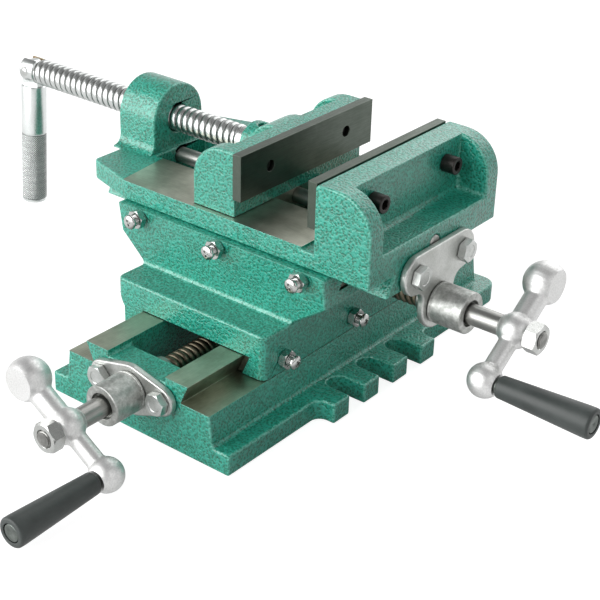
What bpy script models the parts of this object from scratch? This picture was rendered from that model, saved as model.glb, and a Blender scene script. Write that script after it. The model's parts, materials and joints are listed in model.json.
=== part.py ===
"""Cross slide vise with 100 mm jaws, modelled as separate pieces.

Units are metres and +Z is up. The origin is the centre of the base's underside.
+X points along the jaw screw towards the fixed jaw and the upper crank.
-Y points towards the lower crank, which moves the saddle along the base.
Every fit is worked out from the driving sizes below and the named clearances.
"""

import math

import bmesh
import bpy
from mathutils import Matrix, Vector

# Clearances between pieces
FIT = 0.0003
SHAFT_FIT = 0.0003

# How far a cutter runs past what it cuts, how deep a blind bore outruns its screw,
# and how far joined shapes run into each other
PAST = 0.0050
SPARE = 0.0010
SINK = 0.0010

# Base casting
BASE_FRONT = -0.1076
BASE_REAR = 0.1075
FOOT_REAR = 0.1158
FOOT_CORNER = 0.0080
FOOT_HALF = 0.0560
FOOT_HEIGHT = 0.0107
FOOT_FILLET = 0.0020
WALL_FOOT_HALF = 0.0460
BODY_HALF = 0.0443
WAY_HEIGHT = 0.0266
RAIL_NECK_HALF = 0.0273
RAIL_FLARE = 0.0045
RAIL_RISE = 0.0100
CHANNEL_HALF = 0.0178
FRONT_BRIDGE_DEPTH = 0.0146
REAR_BRIDGE_DEPTH = 0.0170
BRIDGE_DROP = 0.0030
WEB_DEPTH = 0.0140
WEB_HEIGHT = 0.0080

# Clamping slots in the base's feet
SLOT_COUNT = 3
SLOT_PITCH = 0.0240
SLOT_WIDTH = 0.0118
SLOT_ROOT_X = 0.0483
SLOT_MIDDLE_Y = -0.0012
TOOTH_REACH = 0.0094
TOOTH_ROOT_RADIUS = 0.0050

# Saddle
SADDLE_HALF_LENGTH = 0.0700
STEP_THICKNESS = 0.0229
STEP_CORNER = 0.0040
STEP_LEFT = 0.0490
STEP_LIP = 0.0083
STEP_UNDERCUT = 0.0070
BLOCK_LEFT = -0.0615
BLOCK_RIGHT = 0.0650
BLOCK_HEIGHT = 0.0308
BLOCK_WALL = 0.0131
BLOCK_LEAN = 0.0050
BLOCK_CHIN = 0.0148
BLOCK_ROOT = 0.0040
TROUGH_HALF = 0.0150
TROUGH_DROP = 0.0108

# Gibs and their screws
LOWER_GIB_THICKNESS = 0.0030
UPPER_GIB_THICKNESS = 0.0052
GIB_END_GAP = 0.0010
GIB_SCREW_COUNT = 3
GIB_SCREW_RADIUS = 0.0025
GIB_HEAD_RADIUS = 0.0037
GIB_HEAD_HEIGHT = 0.0030
GIB_NUT_CORNER = 0.0049
GIB_NUT_HEIGHT = 0.0036
GIB_NECK = 0.0016
GIB_HEAD_FLAT = 0.0022
GIB_HEAD_EDGE = 0.0012
GIB_TIP_EDGE = 0.0005
LOWER_GIB_PITCH = 0.0530
LOWER_GIB_MIDDLE = -0.0028
LOWER_GIB_HEIGHT = 0.0072
UPPER_GIB_PITCH = 0.0495
UPPER_GIB_MIDDLE = 0.0030
UPPER_GIB_DROP = 0.0040

# Vise body
BODY_RIGHT = 0.0866
BODY_LEFT = -0.0903
FLANGE_HALF = 0.0512
FLANGE_THICKNESS = 0.0098
FLANGE_TAPER_LENGTH = 0.0300
FLANGE_TAPER = 0.0084
FLANGE_CORNER = 0.0015
TENON_NECK_HALF = 0.0315
TENON_FLARE = 0.0055
TENON_DEPTH = 0.0097
TENON_INSET = 0.0025
SLOT_HALF = 0.0180
SLOT_LEFT_INSET = 0.0200
RELIEF_WIDTH = 0.0072
RELIEF_DEPTH = 0.0015
SLOT_PAST_RELIEF = 0.0020

# Lug that carries the jaw screw's thread
LUG_RADIUS = 0.0180
LUG_OVERHANG = 0.0062
LUG_LENGTH = 0.0245
LUG_FILLET = 0.0050
JAW_SCREW_LIFT = 0.0147

# Jaws
JAW_LIFT = 0.0322
FIXED_JAW_DEPTH = 0.0304
JAW_BACK_RADIUS = 0.0185
POCKET_WALL = 0.0140
POCKET_FLOOR = 0.0040
POCKET_RADIUS = 0.0030
JAW_EDGE = 0.0012
CHEEK = 0.0098
PLATE_LENGTH = 0.1000
PLATE_HEIGHT = 0.0225
PLATE_THICKNESS = 0.0050
PLATE_SCREW_HALF_PITCH = 0.0288
PLATE_SCREW_DROP = 0.0108
PLATE_SCREW_RADIUS = 0.0025
PLATE_SCREW_BITE = 0.0030
PLATE_HEAD_RADIUS = 0.0043
PLATE_HEAD_HEIGHT = 0.0070
PLATE_KEY_RADIUS = 0.0023
PLATE_KEY_DEPTH = 0.0030
PLATE_HEAD_EDGE = 0.0004
OPENING = 0.0384
MOVING_HALF = 0.0483
MOVING_DEPTH = 0.0254
MOVING_WALL = 0.0084
MOVING_BACK_RADIUS = 0.0175
MOVING_TOP_DROP = 0.0004
BOSS_RADIUS = 0.0115
BOSS_REACH = 0.0297
BOSS_OVERLAP = 0.0015
KEEL_HALF_GAP = 0.0006
KEEL_DROP = 0.0115
KEEL_LENGTH = 0.0280
KEEL_INSET = 0.0010
GUIDE_RADIUS = 0.0040
GUIDE_DROP = 0.0049
GUIDE_SEAT = 0.0100

# Jaw screw and its folding handle
JAW_SCREW_RADIUS = 0.0070
JAW_SCREW_NOSE = 0.0075
NOSE_EDGE = 0.0008
FORK_EDGE = 0.0010
GROOVE_RADIUS = 0.0050
GROOVE_WIDTH = 0.0064
SET_SCREW_RADIUS = 0.0030
SET_SCREW_SINK = 0.0015
HANDLE_PIN_X = -0.1799
FORK_END = 0.0045
FORK_DEPTH = 0.0090
FORK_SLOT = 0.0066
HANDLE_PIN_RADIUS = 0.0025
HANDLE_PIN_PROUD = 0.0008
HANDLE_PIN_EDGE = 0.0005
HANDLE_RADIUS = 0.0069
HANDLE_SHOULDER = 0.0085
HANDLE_LENGTH = 0.0765
HANDLE_END_ROUND = 0.0025
HANDLE_EDGE = 0.0008
HANDLE_LEAN = 4.1
TONGUE_RADIUS = 0.0058

# Cross screws, brackets and dials
LOWER_SCREW_DROP = 0.0123
UPPER_SCREW_DROP = 0.0233
LEAD_RADIUS = 0.0060
SHAFT_RADIUS = 0.0050
COLLAR_RADIUS = 0.0075
COLLAR_LENGTH = 0.0030
LEAD_EDGE = 0.0015
LOWER_SCREW_SPARE = 0.0229
UPPER_SCREW_REACH = 0.1640
BRACKET_THICKNESS = 0.0037
BRACKET_BOLT_RADIUS = 0.0030
BRACKET_BOLT_DEPTH = 0.0110
BRACKET_HEAD_CORNER = 0.0058
BRACKET_HEAD_HEIGHT = 0.0038

# A hexagon's crown: its flat top's radius and its cone's slope, as shares of the corner radius
CROWN_FLAT = 0.88
CROWN_REACH = 1.3
CROWN_DROP = 0.29
LOWER_BOLT_HALF_PITCH = 0.0183
LOWER_BOLT_RISE = 0.0012
LOWER_EAR_RADIUS = 0.0073
LOWER_HUB_RADIUS = 0.0128
UPPER_BOLT_HALF_PITCH = 0.0185
UPPER_BOLT_RISE = 0.0202
UPPER_EAR_RADIUS = 0.0098
UPPER_HUB_RADIUS = 0.0130
UPPER_FLANK_RADIUS = 0.0060
DIAL_RADIUS = 0.0100
DIAL_LENGTH = 0.0177
DIAL_MOUTH_RADIUS = 0.0064
DIAL_MOUTH_DEPTH = 0.0030
DIAL_SCREW_RADIUS = 0.0018
DIAL_SCREW_STATION = 0.0080
DIAL_SCREW_SINK = 0.0008
DIAL_SCREW_LIFT = 0.35
DIAL_EDGE = 0.0006
NUT_HALF_LENGTH = 0.0140
LOWER_NUT_HALF_WIDTH = 0.0120
LOWER_NUT_BELOW = 0.0100
UPPER_NUT_X = 0.0300
UPPER_NUT_ABOVE = 0.0090
NUT_SCREW_RADIUS = 0.0025
NUT_SCREW_HEAD = 0.0045
NUT_SCREW_HEAD_HEIGHT = 0.0040
NUT_SCREW_GAP = 0.0014
UPPER_NUT_TOP_SHARE = 0.6

# Ball cranks
LOWER_HUB_GAP = 0.0209
UPPER_HUB_GAP = 0.0235
LOWER_CRANK_ANGLE = 147.4
UPPER_CRANK_ANGLE = 33.6
BIG_BALL_RADIUS = 0.0103
HUB_BALL_RADIUS = 0.0084
SMALL_BALL_RADIUS = 0.0082
BIG_ARM = 0.0275
SMALL_ARM = 0.0278
ARM_RADIUS = 0.0050
ARM_TAPER = 0.0006
CRANK_FLAT = 0.0064
HUB_BOSS_RADIUS = 0.0056
HUB_BOSS_BACK = 0.0072
HUB_BOSS_FRONT = 0.0068
STUD_RADIUS = 0.0040
CRANK_NUT_CORNER = 0.0075
CRANK_NUT_HEIGHT = 0.0065
STUD_TIP = 0.0008
STUD_EDGE = 0.0006
SPINDLE_RADIUS = 0.0025
SPINDLE_HEAD_RADIUS = 0.0042
SPINDLE_HEAD_HEIGHT = 0.0018
SPINDLE_EDGE = 0.0005
SPINDLE_SHOULDER_RADIUS = 0.00375
SPINDLE_BITE = 0.0060
GRIP_GAP = 0.0012
GRIP_LENGTH = 0.0468
GRIP_THIN = 0.0053
GRIP_THICK = 0.0071
GRIP_CHAMFER = 0.0012
GRIP_RECESS = 0.0024

# Levels worked out from the sizes above
RAIL_TOP = WAY_HEIGHT + RAIL_RISE
SADDLE_BOTTOM = WAY_HEIGHT + FIT
STEP_TOP = SADDLE_BOTTOM + STEP_THICKNESS
BLOCK_REAR = TENON_NECK_HALF + TENON_FLARE + BLOCK_WALL
BLOCK_FRONT = -BLOCK_REAR - UPPER_GIB_THICKNESS
SADDLE_TOP = STEP_TOP + BLOCK_HEIGHT
FLANGE_BOTTOM = SADDLE_TOP + FIT
FLANGE_TOP = FLANGE_BOTTOM + FLANGE_THICKNESS
TENON_BOTTOM = FLANGE_BOTTOM - TENON_DEPTH
JAW_TOP = FLANGE_TOP + JAW_LIFT
LOWER_AXIS_Z = RAIL_TOP - LOWER_SCREW_DROP
UPPER_AXIS_Z = SADDLE_TOP - UPPER_SCREW_DROP
JAW_AXIS_Z = FLANGE_TOP + JAW_SCREW_LIFT
GUIDE_Z = FLANGE_TOP - GUIDE_DROP
TROUGH_FLOOR = UPPER_AXIS_Z - TROUGH_DROP
PLATE_SCREW_Z = JAW_TOP - PLATE_SCREW_DROP

# Stations along X worked out from the sizes above
FIXED_FACE = BODY_RIGHT - FIXED_JAW_DEPTH
FIXED_PLATE_FACE = FIXED_FACE - FIT - PLATE_THICKNESS
MOVING_PLATE_FACE = FIXED_PLATE_FACE - OPENING
MOVING_FACE = MOVING_PLATE_FACE - PLATE_THICKNESS - FIT
LUG_REAR = BODY_LEFT - LUG_OVERHANG
LUG_FRONT = LUG_REAR + LUG_LENGTH
SLOT_LEFT = BODY_LEFT + SLOT_LEFT_INSET
SLOT_RIGHT = FIXED_FACE - RELIEF_WIDTH + SLOT_PAST_RELIEF
BOSS_REAR = MOVING_FACE - BOSS_REACH
NOSE_TIP = BOSS_REAR + JAW_SCREW_NOSE + GROOVE_WIDTH
SET_SCREW_X = NOSE_TIP - GROOVE_WIDTH

# Where each crank's parts lie along its own outward axis
LOWER_PLATE = -BASE_FRONT + FIT
UPPER_PLATE = BODY_RIGHT + FIT
LOWER_SCREW_REACH = LOWER_PLATE + BASE_REAR - REAR_BRIDGE_DEPTH - LOWER_SCREW_SPARE

GREEN = (0.105, 0.420, 0.320)
MACHINED = (0.330, 0.320, 0.300)
STEEL = (0.560, 0.560, 0.570)
DARK_STEEL = (0.110, 0.115, 0.115)
BLACK = (0.020, 0.020, 0.022)
ALUMINIUM = (0.640, 0.645, 0.650)
BRONZE = (0.450, 0.300, 0.130)
GRIP_GREY = (0.060, 0.070, 0.066)

CURVE_STEPS = 8
ROUND = 28
FINE_ROUND = 32


def clear_scene():
    for thing in list(bpy.data.objects):
        bpy.data.objects.remove(thing, do_unlink=True)


def make_collection(name):
    made = bpy.data.collections.new(name)
    bpy.context.scene.collection.children.link(made)
    return made


clear_scene()
PARTS = make_collection("cross_slide_vise")
CUTTERS = make_collection("cutters")


def finish(thing, colour, roughness, metallic):
    """Give a piece its own material and soft shading on its round faces."""
    made = bpy.data.materials.new(thing.name + "_finish")
    made.use_nodes = True
    shader = made.node_tree.nodes["Principled BSDF"]
    shader.inputs["Base Color"].default_value = (*colour, 1.0)
    shader.inputs["Roughness"].default_value = roughness
    shader.inputs["Metallic"].default_value = metallic
    thing.data.materials.clear()
    thing.data.materials.append(made)
    thing.data.shade_smooth()
    thing.data.set_sharp_from_angle(angle=math.radians(32))
    return thing


def painted(thing):
    return finish(thing, GREEN, 0.35, 0.0)


def machined(thing, colour=STEEL, roughness=0.3):
    return finish(thing, colour, roughness, 1.0)


def arc(cu, cv, radius, start, end, steps=CURVE_STEPS):
    """Points on an arc from one angle to another, in degrees, both ends included."""
    points = []
    for step in range(steps + 1):
        angle = math.radians(start + (end - start) * step / steps)
        points.append((cu + radius * math.cos(angle), cv + radius * math.sin(angle)))
    return points


def circle(cu, cv, radius, steps=ROUND):
    return arc(cu, cv, radius, 0, 360, steps)[:-1]


def mirrored(half):
    """Close a half outline, listed upwards on the positive side, with its mirror image."""
    return half + [(-u, v) for u, v in reversed(half) if abs(u) > 1e-9]


def rectangle(low_u, high_u, low_v, high_v):
    return [(low_u, low_v), (high_u, low_v), (high_u, high_v), (low_u, high_v)]


def basis(axis):
    """Columns for an outline's two directions and the direction it is extruded in."""
    x, y, z = Vector((1, 0, 0)), Vector((0, 1, 0)), Vector((0, 0, 1))
    columns = {"X": (y, z, x), "Y": (z, x, y), "Z": (x, y, z)}[axis]
    return Matrix(columns).transposed().to_4x4()


def mesh_from_curve(thing):
    """Turn a filled curve into a mesh object whose caps are welded to its sides."""
    bpy.context.view_layer.update()
    graph = bpy.context.evaluated_depsgraph_get()
    mesh = bpy.data.meshes.new_from_object(thing.evaluated_get(graph))
    editable = bmesh.new()
    editable.from_mesh(mesh)
    bmesh.ops.remove_doubles(editable, verts=editable.verts, dist=1e-6)
    bmesh.ops.recalc_face_normals(editable, faces=editable.faces)
    editable.to_mesh(mesh)
    editable.free()
    made = bpy.data.objects.new(thing.name.replace("_outline", ""), mesh)
    made.matrix_world = thing.matrix_world
    PARTS.objects.link(made)
    bpy.data.objects.remove(thing, do_unlink=True)
    return made


def prism(name, outline, axis, low, high, holes=()):
    """Extrude an outline along X, Y or Z.

    The outline holds (y, z) points along X, (x, z) along Y and (x, y) along Z.
    """
    curve = bpy.data.curves.new(name, "CURVE")
    curve.dimensions = "2D"
    curve.fill_mode = "BOTH"
    curve.extrude = (high - low) / 2
    for loop in (outline, *holes):
        spline = curve.splines.new("POLY")
        spline.points.add(len(loop) - 1)
        spline.use_cyclic_u = True
        for point, (u, v) in zip(spline.points, loop):
            point.co = (v, u, 0, 1) if axis == "Y" else (u, v, 0, 1)
    thing = bpy.data.objects.new(name + "_outline", curve)
    frame = basis(axis)
    thing.matrix_world = Matrix.Translation(frame.col[2].to_3d() * (low + high) / 2) @ frame
    PARTS.objects.link(thing)
    return mesh_from_curve(thing)


def axis_frame(origin, direction):
    """A frame at a point whose Z runs along the direction."""
    turn = Vector(direction).to_track_quat("Z", "Y").to_matrix().to_4x4()
    return Matrix.Translation(Vector(origin)) @ turn


def turned(name, profile, frame, steps=ROUND, ring=False):
    """Revolve a profile of (radius, height) points, listed down the outer side."""
    mesh = bpy.data.meshes.new(name)
    count = len(profile)
    edges = [(i, i + 1) for i in range(count - 1)]
    if ring:
        edges.append((count - 1, 0))
    mesh.from_pydata([(radius, 0, height) for radius, height in profile], edges, [])
    made = bpy.data.objects.new(name, mesh)
    made.matrix_world = frame
    PARTS.objects.link(made)
    screw = made.modifiers.new("revolve", "SCREW")
    screw.axis = "Z"
    screw.angle = 2 * math.pi
    screw.steps = steps
    screw.render_steps = steps
    screw.use_merge_vertices = True
    screw.merge_threshold = 0.00001
    screw.use_smooth_shade = True
    return made


def bar(name, radius, origin, direction, start, end, steps=ROUND, second=None):
    """A round bar, or a cone with a second radius, along a direction from a point."""
    mesh = bpy.data.meshes.new(name)
    editable = bmesh.new()
    shift = Matrix.Translation((0, 0, (start + end) / 2))
    top = radius if second is None else second
    bmesh.ops.create_cone(editable, cap_ends=True, segments=steps, radius1=radius,
                          radius2=top, depth=end - start, matrix=shift)
    editable.to_mesh(mesh)
    editable.free()
    made = bpy.data.objects.new(name, mesh)
    made.matrix_world = axis_frame(origin, direction)
    PARTS.objects.link(made)
    return made


def combine(target, tool, operation):
    """Join, cut or intersect with a tool shape, which moves to the cutters."""
    PARTS.objects.unlink(tool)
    CUTTERS.objects.link(tool)
    tool.hide_render = True
    tool.display_type = "WIRE"
    change = target.modifiers.new(tool.name, "BOOLEAN")
    change.operation = operation
    change.solver = "EXACT"
    change.object = tool
    return target


def join(target, *tools):
    for tool in tools:
        combine(target, tool, "UNION")
    return target


def cut(target, *tools):
    for tool in tools:
        combine(target, tool, "DIFFERENCE")
    return target


def group(name, location, members, parent=None):
    """Parent the pieces of one moving body to an empty on its joint's axis."""
    holder = bpy.data.objects.new(name, None)
    holder.empty_display_size = 0.01
    holder.location = location
    PARTS.objects.link(holder)
    bpy.context.view_layer.update()
    if parent is not None:
        holder.parent = parent
        holder.matrix_parent_inverse = parent.matrix_world.inverted()
    bpy.context.view_layer.update()
    for member in members:
        member.parent = holder
        member.matrix_parent_inverse = holder.matrix_world.inverted()
    return holder


# Base

def foot_band():
    """Plan of one foot's clamping teeth, before the slots are cut."""
    face = FOOT_HALF
    tip = FOOT_HALF + TOOTH_REACH
    half_band = SLOT_COUNT * SLOT_PITCH / 2 + (SLOT_PITCH - SLOT_WIDTH) / 2
    low, high = SLOT_MIDDLE_Y - half_band, SLOT_MIDDLE_Y + half_band
    r = TOOTH_ROOT_RADIUS
    inner = (SLOT_ROOT_X + face) / 2
    return ([(inner, low - r)] + arc(face + r, low - r, r, 180, 90)
            + [(tip, low), (tip, high)] + arc(face + r, high + r, r, 270, 180)
            + [(inner, high + r)])


def clamp_slot(middle):
    """Plan of one clamping slot with a round root, open at the tooth tips."""
    r = SLOT_WIDTH / 2
    mouth = FOOT_HALF + TOOTH_REACH + r
    return [(mouth, middle + r)] + arc(SLOT_ROOT_X + r, middle, r, 90, 270, 12) + [(mouth, middle - r)]


def foot_rear_plan():
    """Plan of the foot's rear end, which stands out past the rails with round corners."""
    c = FOOT_CORNER
    root = BASE_REAR - REAR_BRIDGE_DEPTH / 2
    half = [(FOOT_HALF, root)] + arc(FOOT_HALF - c, FOOT_REAR - c, c, 0, 90, 6)
    return mirrored(half)


def base_casting():
    half = [(FOOT_HALF, 0), (FOOT_HALF, FOOT_HEIGHT)]
    half += arc(WALL_FOOT_HALF + FOOT_FILLET, FOOT_HEIGHT + FOOT_FILLET, FOOT_FILLET, 270, 180, 4)
    half += [(BODY_HALF, WAY_HEIGHT), (RAIL_NECK_HALF, WAY_HEIGHT),
             (RAIL_NECK_HALF + RAIL_FLARE, RAIL_TOP), (CHANNEL_HALF, RAIL_TOP),
             (CHANNEL_HALF, RAIL_TOP - BRIDGE_DROP)]
    base = prism("base_casting", mirrored(half), "Y", BASE_FRONT, BASE_REAR)
    join(base, prism("foot_rear", foot_rear_plan(), "Z", 0, FOOT_HEIGHT))
    for side in (1, -1):
        band = [(side * x, y) for x, y in foot_band()]
        join(base, prism(f"foot_teeth_{side}", band, "Z", 0, FOOT_HEIGHT))
        for index in range(SLOT_COUNT):
            middle = SLOT_MIDDLE_Y + (index - (SLOT_COUNT - 1) / 2) * SLOT_PITCH
            slot = [(side * x, y) for x, y in clamp_slot(middle)]
            cut(base, prism(f"clamp_slot_{side}_{index}", slot, "Z", -PAST, FOOT_HEIGHT + FOOT_FILLET))
    low, high = -PAST, RAIL_TOP + PAST
    front, rear = BASE_FRONT + FRONT_BRIDGE_DEPTH, BASE_REAR - REAR_BRIDGE_DEPTH
    web = WEB_DEPTH / 2
    channel = [(front, low), (-web, low), (-web, WEB_HEIGHT), (web, WEB_HEIGHT), (web, low),
               (rear, low), (rear, high), (front, high)]
    cut(base, prism("screw_channel", channel, "X", -CHANNEL_HALF, CHANNEL_HALF))
    cut(base, bar("lower_shaft_bore", SHAFT_RADIUS + SHAFT_FIT, (0, 0, LOWER_AXIS_Z), (0, -1, 0),
                  -front - PAST, -BASE_FRONT + PAST))
    for side in (1, -1):
        cut(base, bracket_bolt_bore("lower", side, LOWER_PLATE))
    return painted(base)


# Brackets, cross screws, dials and cranks, all set along an outward axis

def lower_frame():
    """The lower screw's outward axis, with the crank's own plane square to it."""
    return (0, 0, LOWER_AXIS_Z), (0, -1, 0)


def upper_frame():
    return (0, 0, UPPER_AXIS_Z), (1, 0, 0)


FRAMES = {"lower": lower_frame, "upper": upper_frame}
BOLT_HALF_PITCH = {"lower": LOWER_BOLT_HALF_PITCH, "upper": UPPER_BOLT_HALF_PITCH}
BOLT_RISE = {"lower": LOWER_BOLT_RISE, "upper": UPPER_BOLT_RISE}


def bolt_origin(which, side):
    """Where a bracket bolt's axis crosses the plane through the origin."""
    origin, direction = FRAMES[which]()
    across = Vector((0, 0, 1)).cross(Vector(direction))
    return Vector(origin) + across * side * BOLT_HALF_PITCH[which] + Vector((0, 0, BOLT_RISE[which]))


def bracket_bolt_bore(which, side, plate):
    direction = FRAMES[which]()[1]
    return bar(f"{which}_bolt_bore_{side}", BRACKET_BOLT_RADIUS + FIT, bolt_origin(which, side),
               direction, plate - BRACKET_BOLT_DEPTH - SPARE, plate + PAST, 24)


def tangent_angle(ear, hub, distance):
    """Angle from the line of centres to the outer tangent point of two circles."""
    return math.degrees(math.acos((hub - ear) / distance))


def lower_bracket_outline():
    """Plan of the diamond bracket: ear arcs and a hub arc joined by their tangents."""
    half, rise, ear, hub = LOWER_BOLT_HALF_PITCH, LOWER_BOLT_RISE, LOWER_EAR_RADIUS, LOWER_HUB_RADIUS
    toward = math.degrees(math.atan2(rise, half))
    spread = tangent_angle(ear, hub, math.hypot(half, rise))
    under, over = toward - spread, toward + spread
    right = arc(0, 0, hub, 270, 360 + under, 5) + arc(half, rise, ear, under, over, 8)
    right += arc(0, 0, hub, over, 90, 4)
    return right + [(-u, v) for u, v in reversed(right)][1:-1]


def upper_bracket_outline():
    """Plan of the straight topped bracket, whose flanks sweep in between each ear and the hub."""
    half, rise, ear, hub = UPPER_BOLT_HALF_PITCH, UPPER_BOLT_RISE, UPPER_EAR_RADIUS, UPPER_HUB_RADIUS
    sweep = UPPER_FLANK_RADIUS
    distance = math.hypot(half, rise)
    near, far = hub + sweep, ear + sweep
    lean_in = math.acos((near ** 2 + distance ** 2 - far ** 2) / (2 * near * distance))
    toward = math.atan2(rise, half) - lean_in
    centre = near * math.cos(toward), near * math.sin(toward)
    meets_hub = math.degrees(toward)
    meets_ear = math.degrees(math.atan2(centre[1] - rise, centre[0] - half))
    right = arc(0, 0, hub, 270, 360 + meets_hub, 6)
    right += arc(*centre, sweep, 180 + meets_hub, 180 + meets_ear, 5)[1:-1]
    right += arc(half, rise, ear, meets_ear, 90, 9)
    return right + [(-u, v) for u, v in reversed(right)][:-1]


def bracket(which, plate):
    """The cast plate that holds a cross screw's shaft, with its two bolt holes."""
    origin, direction = FRAMES[which]()
    half, rise = BOLT_HALF_PITCH[which], BOLT_RISE[which]
    holes = [circle(0, 0, SHAFT_RADIUS + SHAFT_FIT, 24)]
    holes += [circle(side * half, rise, BRACKET_BOLT_RADIUS + FIT, 20) for side in (1, -1)]
    outline = {"lower": lower_bracket_outline, "upper": upper_bracket_outline}[which]()
    made = prism(f"{which}_bracket", outline, "X", plate, plate + BRACKET_THICKNESS, holes)
    turn = Matrix.Rotation(math.atan2(direction[1], direction[0]), 4, "Z")
    made.matrix_world = Matrix.Translation(Vector(origin)) @ turn @ made.matrix_world
    return machined(made, ALUMINIUM, 0.4)


def hexagon_head(name, corner, origin, direction, seat, top):
    """A hexagon whose outer face has its corners turned off by a cone."""
    head = bar(name, corner, origin, direction, seat, top, 6)
    wide = corner * CROWN_REACH
    profile = [(0, top), (corner * CROWN_FLAT, top), (wide, top - corner * CROWN_DROP), (wide, seat),
               (0, seat)]
    return combine(head, turned(name + "_crown", profile, axis_frame(origin, direction), 12), "INTERSECT")


def bracket_bolt(which, side, plate):
    """A hex headed bolt with a chamfered head."""
    direction = FRAMES[which]()[1]
    seat = plate + BRACKET_THICKNESS + FIT
    name = f"{which}_bracket_bolt_{'right' if side > 0 else 'left'}"
    origin = bolt_origin(which, side)
    bolt = hexagon_head(name, BRACKET_HEAD_CORNER, origin, direction, seat, seat + BRACKET_HEAD_HEIGHT)
    join(bolt, bar(name + "_shank", BRACKET_BOLT_RADIUS, origin, direction,
                   plate - BRACKET_BOLT_DEPTH, seat + SINK, 12))
    return machined(bolt, STEEL, 0.25)


def cross_screw(which, plate, reach, hub):
    """A cross screw: thread, thrust collar, plain shaft and the stud for the crank."""
    end = plate - FIT
    nut_top = hub + HUB_BOSS_FRONT + FIT + CRANK_NUT_HEIGHT
    profile = [(0, nut_top + STUD_TIP), (STUD_RADIUS - STUD_EDGE, nut_top + STUD_TIP),
               (STUD_RADIUS, nut_top + STUD_TIP - STUD_EDGE), (STUD_RADIUS, hub - HUB_BOSS_BACK - FIT),
               (SHAFT_RADIUS, hub - HUB_BOSS_BACK - FIT), (SHAFT_RADIUS, end),
               (COLLAR_RADIUS, end), (COLLAR_RADIUS, end - COLLAR_LENGTH),
               (LEAD_RADIUS, end - COLLAR_LENGTH), (LEAD_RADIUS, end - reach + LEAD_EDGE),
               (LEAD_RADIUS - LEAD_EDGE, end - reach), (0, end - reach)]
    if which == "lower":
        wall = plate - FIT - FRONT_BRIDGE_DEPTH - FIT
        profile[5:8] = [(SHAFT_RADIUS, wall), (COLLAR_RADIUS, wall), (COLLAR_RADIUS, wall - COLLAR_LENGTH)]
        profile[8] = (LEAD_RADIUS, wall - COLLAR_LENGTH)
    return machined(turned(f"{which}_cross_screw", profile, axis_frame(*FRAMES[which]()), 20), STEEL, 0.35)


def dial(which, plate):
    """The dial sleeve on the shaft, with a wider mouth at its outer end."""
    seat = plate + BRACKET_THICKNESS + FIT
    top = seat + DIAL_LENGTH
    bore = SHAFT_RADIUS + SHAFT_FIT
    profile = [(DIAL_MOUTH_RADIUS, top), (DIAL_RADIUS - DIAL_EDGE, top), (DIAL_RADIUS, top - DIAL_EDGE),
               (DIAL_RADIUS, seat), (bore, seat), (bore, top - DIAL_MOUTH_DEPTH),
               (DIAL_MOUTH_RADIUS, top - DIAL_MOUTH_DEPTH)]
    made = turned(f"{which}_dial", profile, axis_frame(*FRAMES[which]()), FINE_ROUND, ring=True)
    origin, direction = dial_screw_line(which, plate)
    cut(made, bar(f"{which}_dial_screw_bore", DIAL_SCREW_RADIUS + FIT, origin, direction,
                  SHAFT_RADIUS - SINK, DIAL_RADIUS + PAST, 16))
    return machined(made, ALUMINIUM, 0.35)


def dial_screw_line(which, plate):
    """The set screw's line, square to the shaft and leaning upwards, near the dial's middle."""
    origin, direction = FRAMES[which]()
    middle = plate + BRACKET_THICKNESS + FIT + DIAL_SCREW_STATION
    across = Vector((0, 0, 1)).cross(Vector(direction))
    side = across if which == "lower" else -across
    return Vector(origin) + Vector(direction) * middle, (side + Vector((0, 0, DIAL_SCREW_LIFT))).normalized()


def dial_screw(which, plate):
    origin, direction = dial_screw_line(which, plate)
    made = bar(f"{which}_dial_set_screw", DIAL_SCREW_RADIUS, origin, direction,
               SHAFT_RADIUS + FIT, DIAL_RADIUS - DIAL_SCREW_SINK, 16)
    return machined(made, DARK_STEEL, 0.4)


def crank_directions(which):
    """The arm's direction, from the small ball to the big one, and the outward axis."""
    origin, direction = FRAMES[which]()
    angle = math.radians({"lower": LOWER_CRANK_ANGLE, "upper": UPPER_CRANK_ANGLE}[which])
    across = Vector((0, 0, 1)).cross(Vector(direction))
    return across * math.cos(angle) + Vector((0, 0, 1)) * math.sin(angle), Vector(direction)


def ball_crank_profile():
    """One profile for the three balls and the tapered arms between them."""
    def meets(ball, arm):
        return math.degrees(math.asin(arm / ball))

    thin, thick = ARM_RADIUS - ARM_TAPER, ARM_RADIUS + ARM_TAPER
    big = meets(BIG_BALL_RADIUS, thick)
    hub = meets(HUB_BALL_RADIUS, ARM_RADIUS)
    small = meets(SMALL_BALL_RADIUS, thin)
    points = []
    for centre, radius, start, end in ((BIG_ARM, BIG_BALL_RADIUS, 0, 180 - big),
                                       (0, HUB_BALL_RADIUS, hub, 180 - hub),
                                       (-SMALL_ARM, SMALL_BALL_RADIUS, small, 180)):
        for height, out in arc(centre, 0, radius, start, end, 7):
            points.append((max(out, 0), height))
    points[0] = (0, points[0][1])
    points[-1] = (0, points[-1][1])
    return points


def crank_arm(which, hub):
    """A three ball crank with a flat front, a hub boss and a bore for the stud."""
    origin, _ = FRAMES[which]()
    along, outward = crank_directions(which)
    centre = Vector(origin) + outward * hub
    arm = turned(f"{which}_crank_arm", ball_crank_profile(), axis_frame(centre, along), 20)
    reach = BIG_ARM + BIG_BALL_RADIUS + PAST
    through = BIG_BALL_RADIUS + PAST
    cut(arm, bar(f"{which}_crank_flat", reach, centre, outward, CRANK_FLAT, through, 12))
    join(arm, bar(f"{which}_hub_boss", HUB_BOSS_RADIUS, centre, outward, -HUB_BOSS_BACK, HUB_BOSS_FRONT))
    cut(arm, bar(f"{which}_stud_bore", STUD_RADIUS + FIT, centre, outward, -through, through, 24))
    knob = centre - along * SMALL_ARM
    cut(arm, bar(f"{which}_spindle_bore", SPINDLE_RADIUS + FIT, knob, outward,
                 CRANK_FLAT - SPINDLE_BITE - FIT, CRANK_FLAT + PAST, 16))
    return machined(arm, ALUMINIUM, 0.3)


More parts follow.
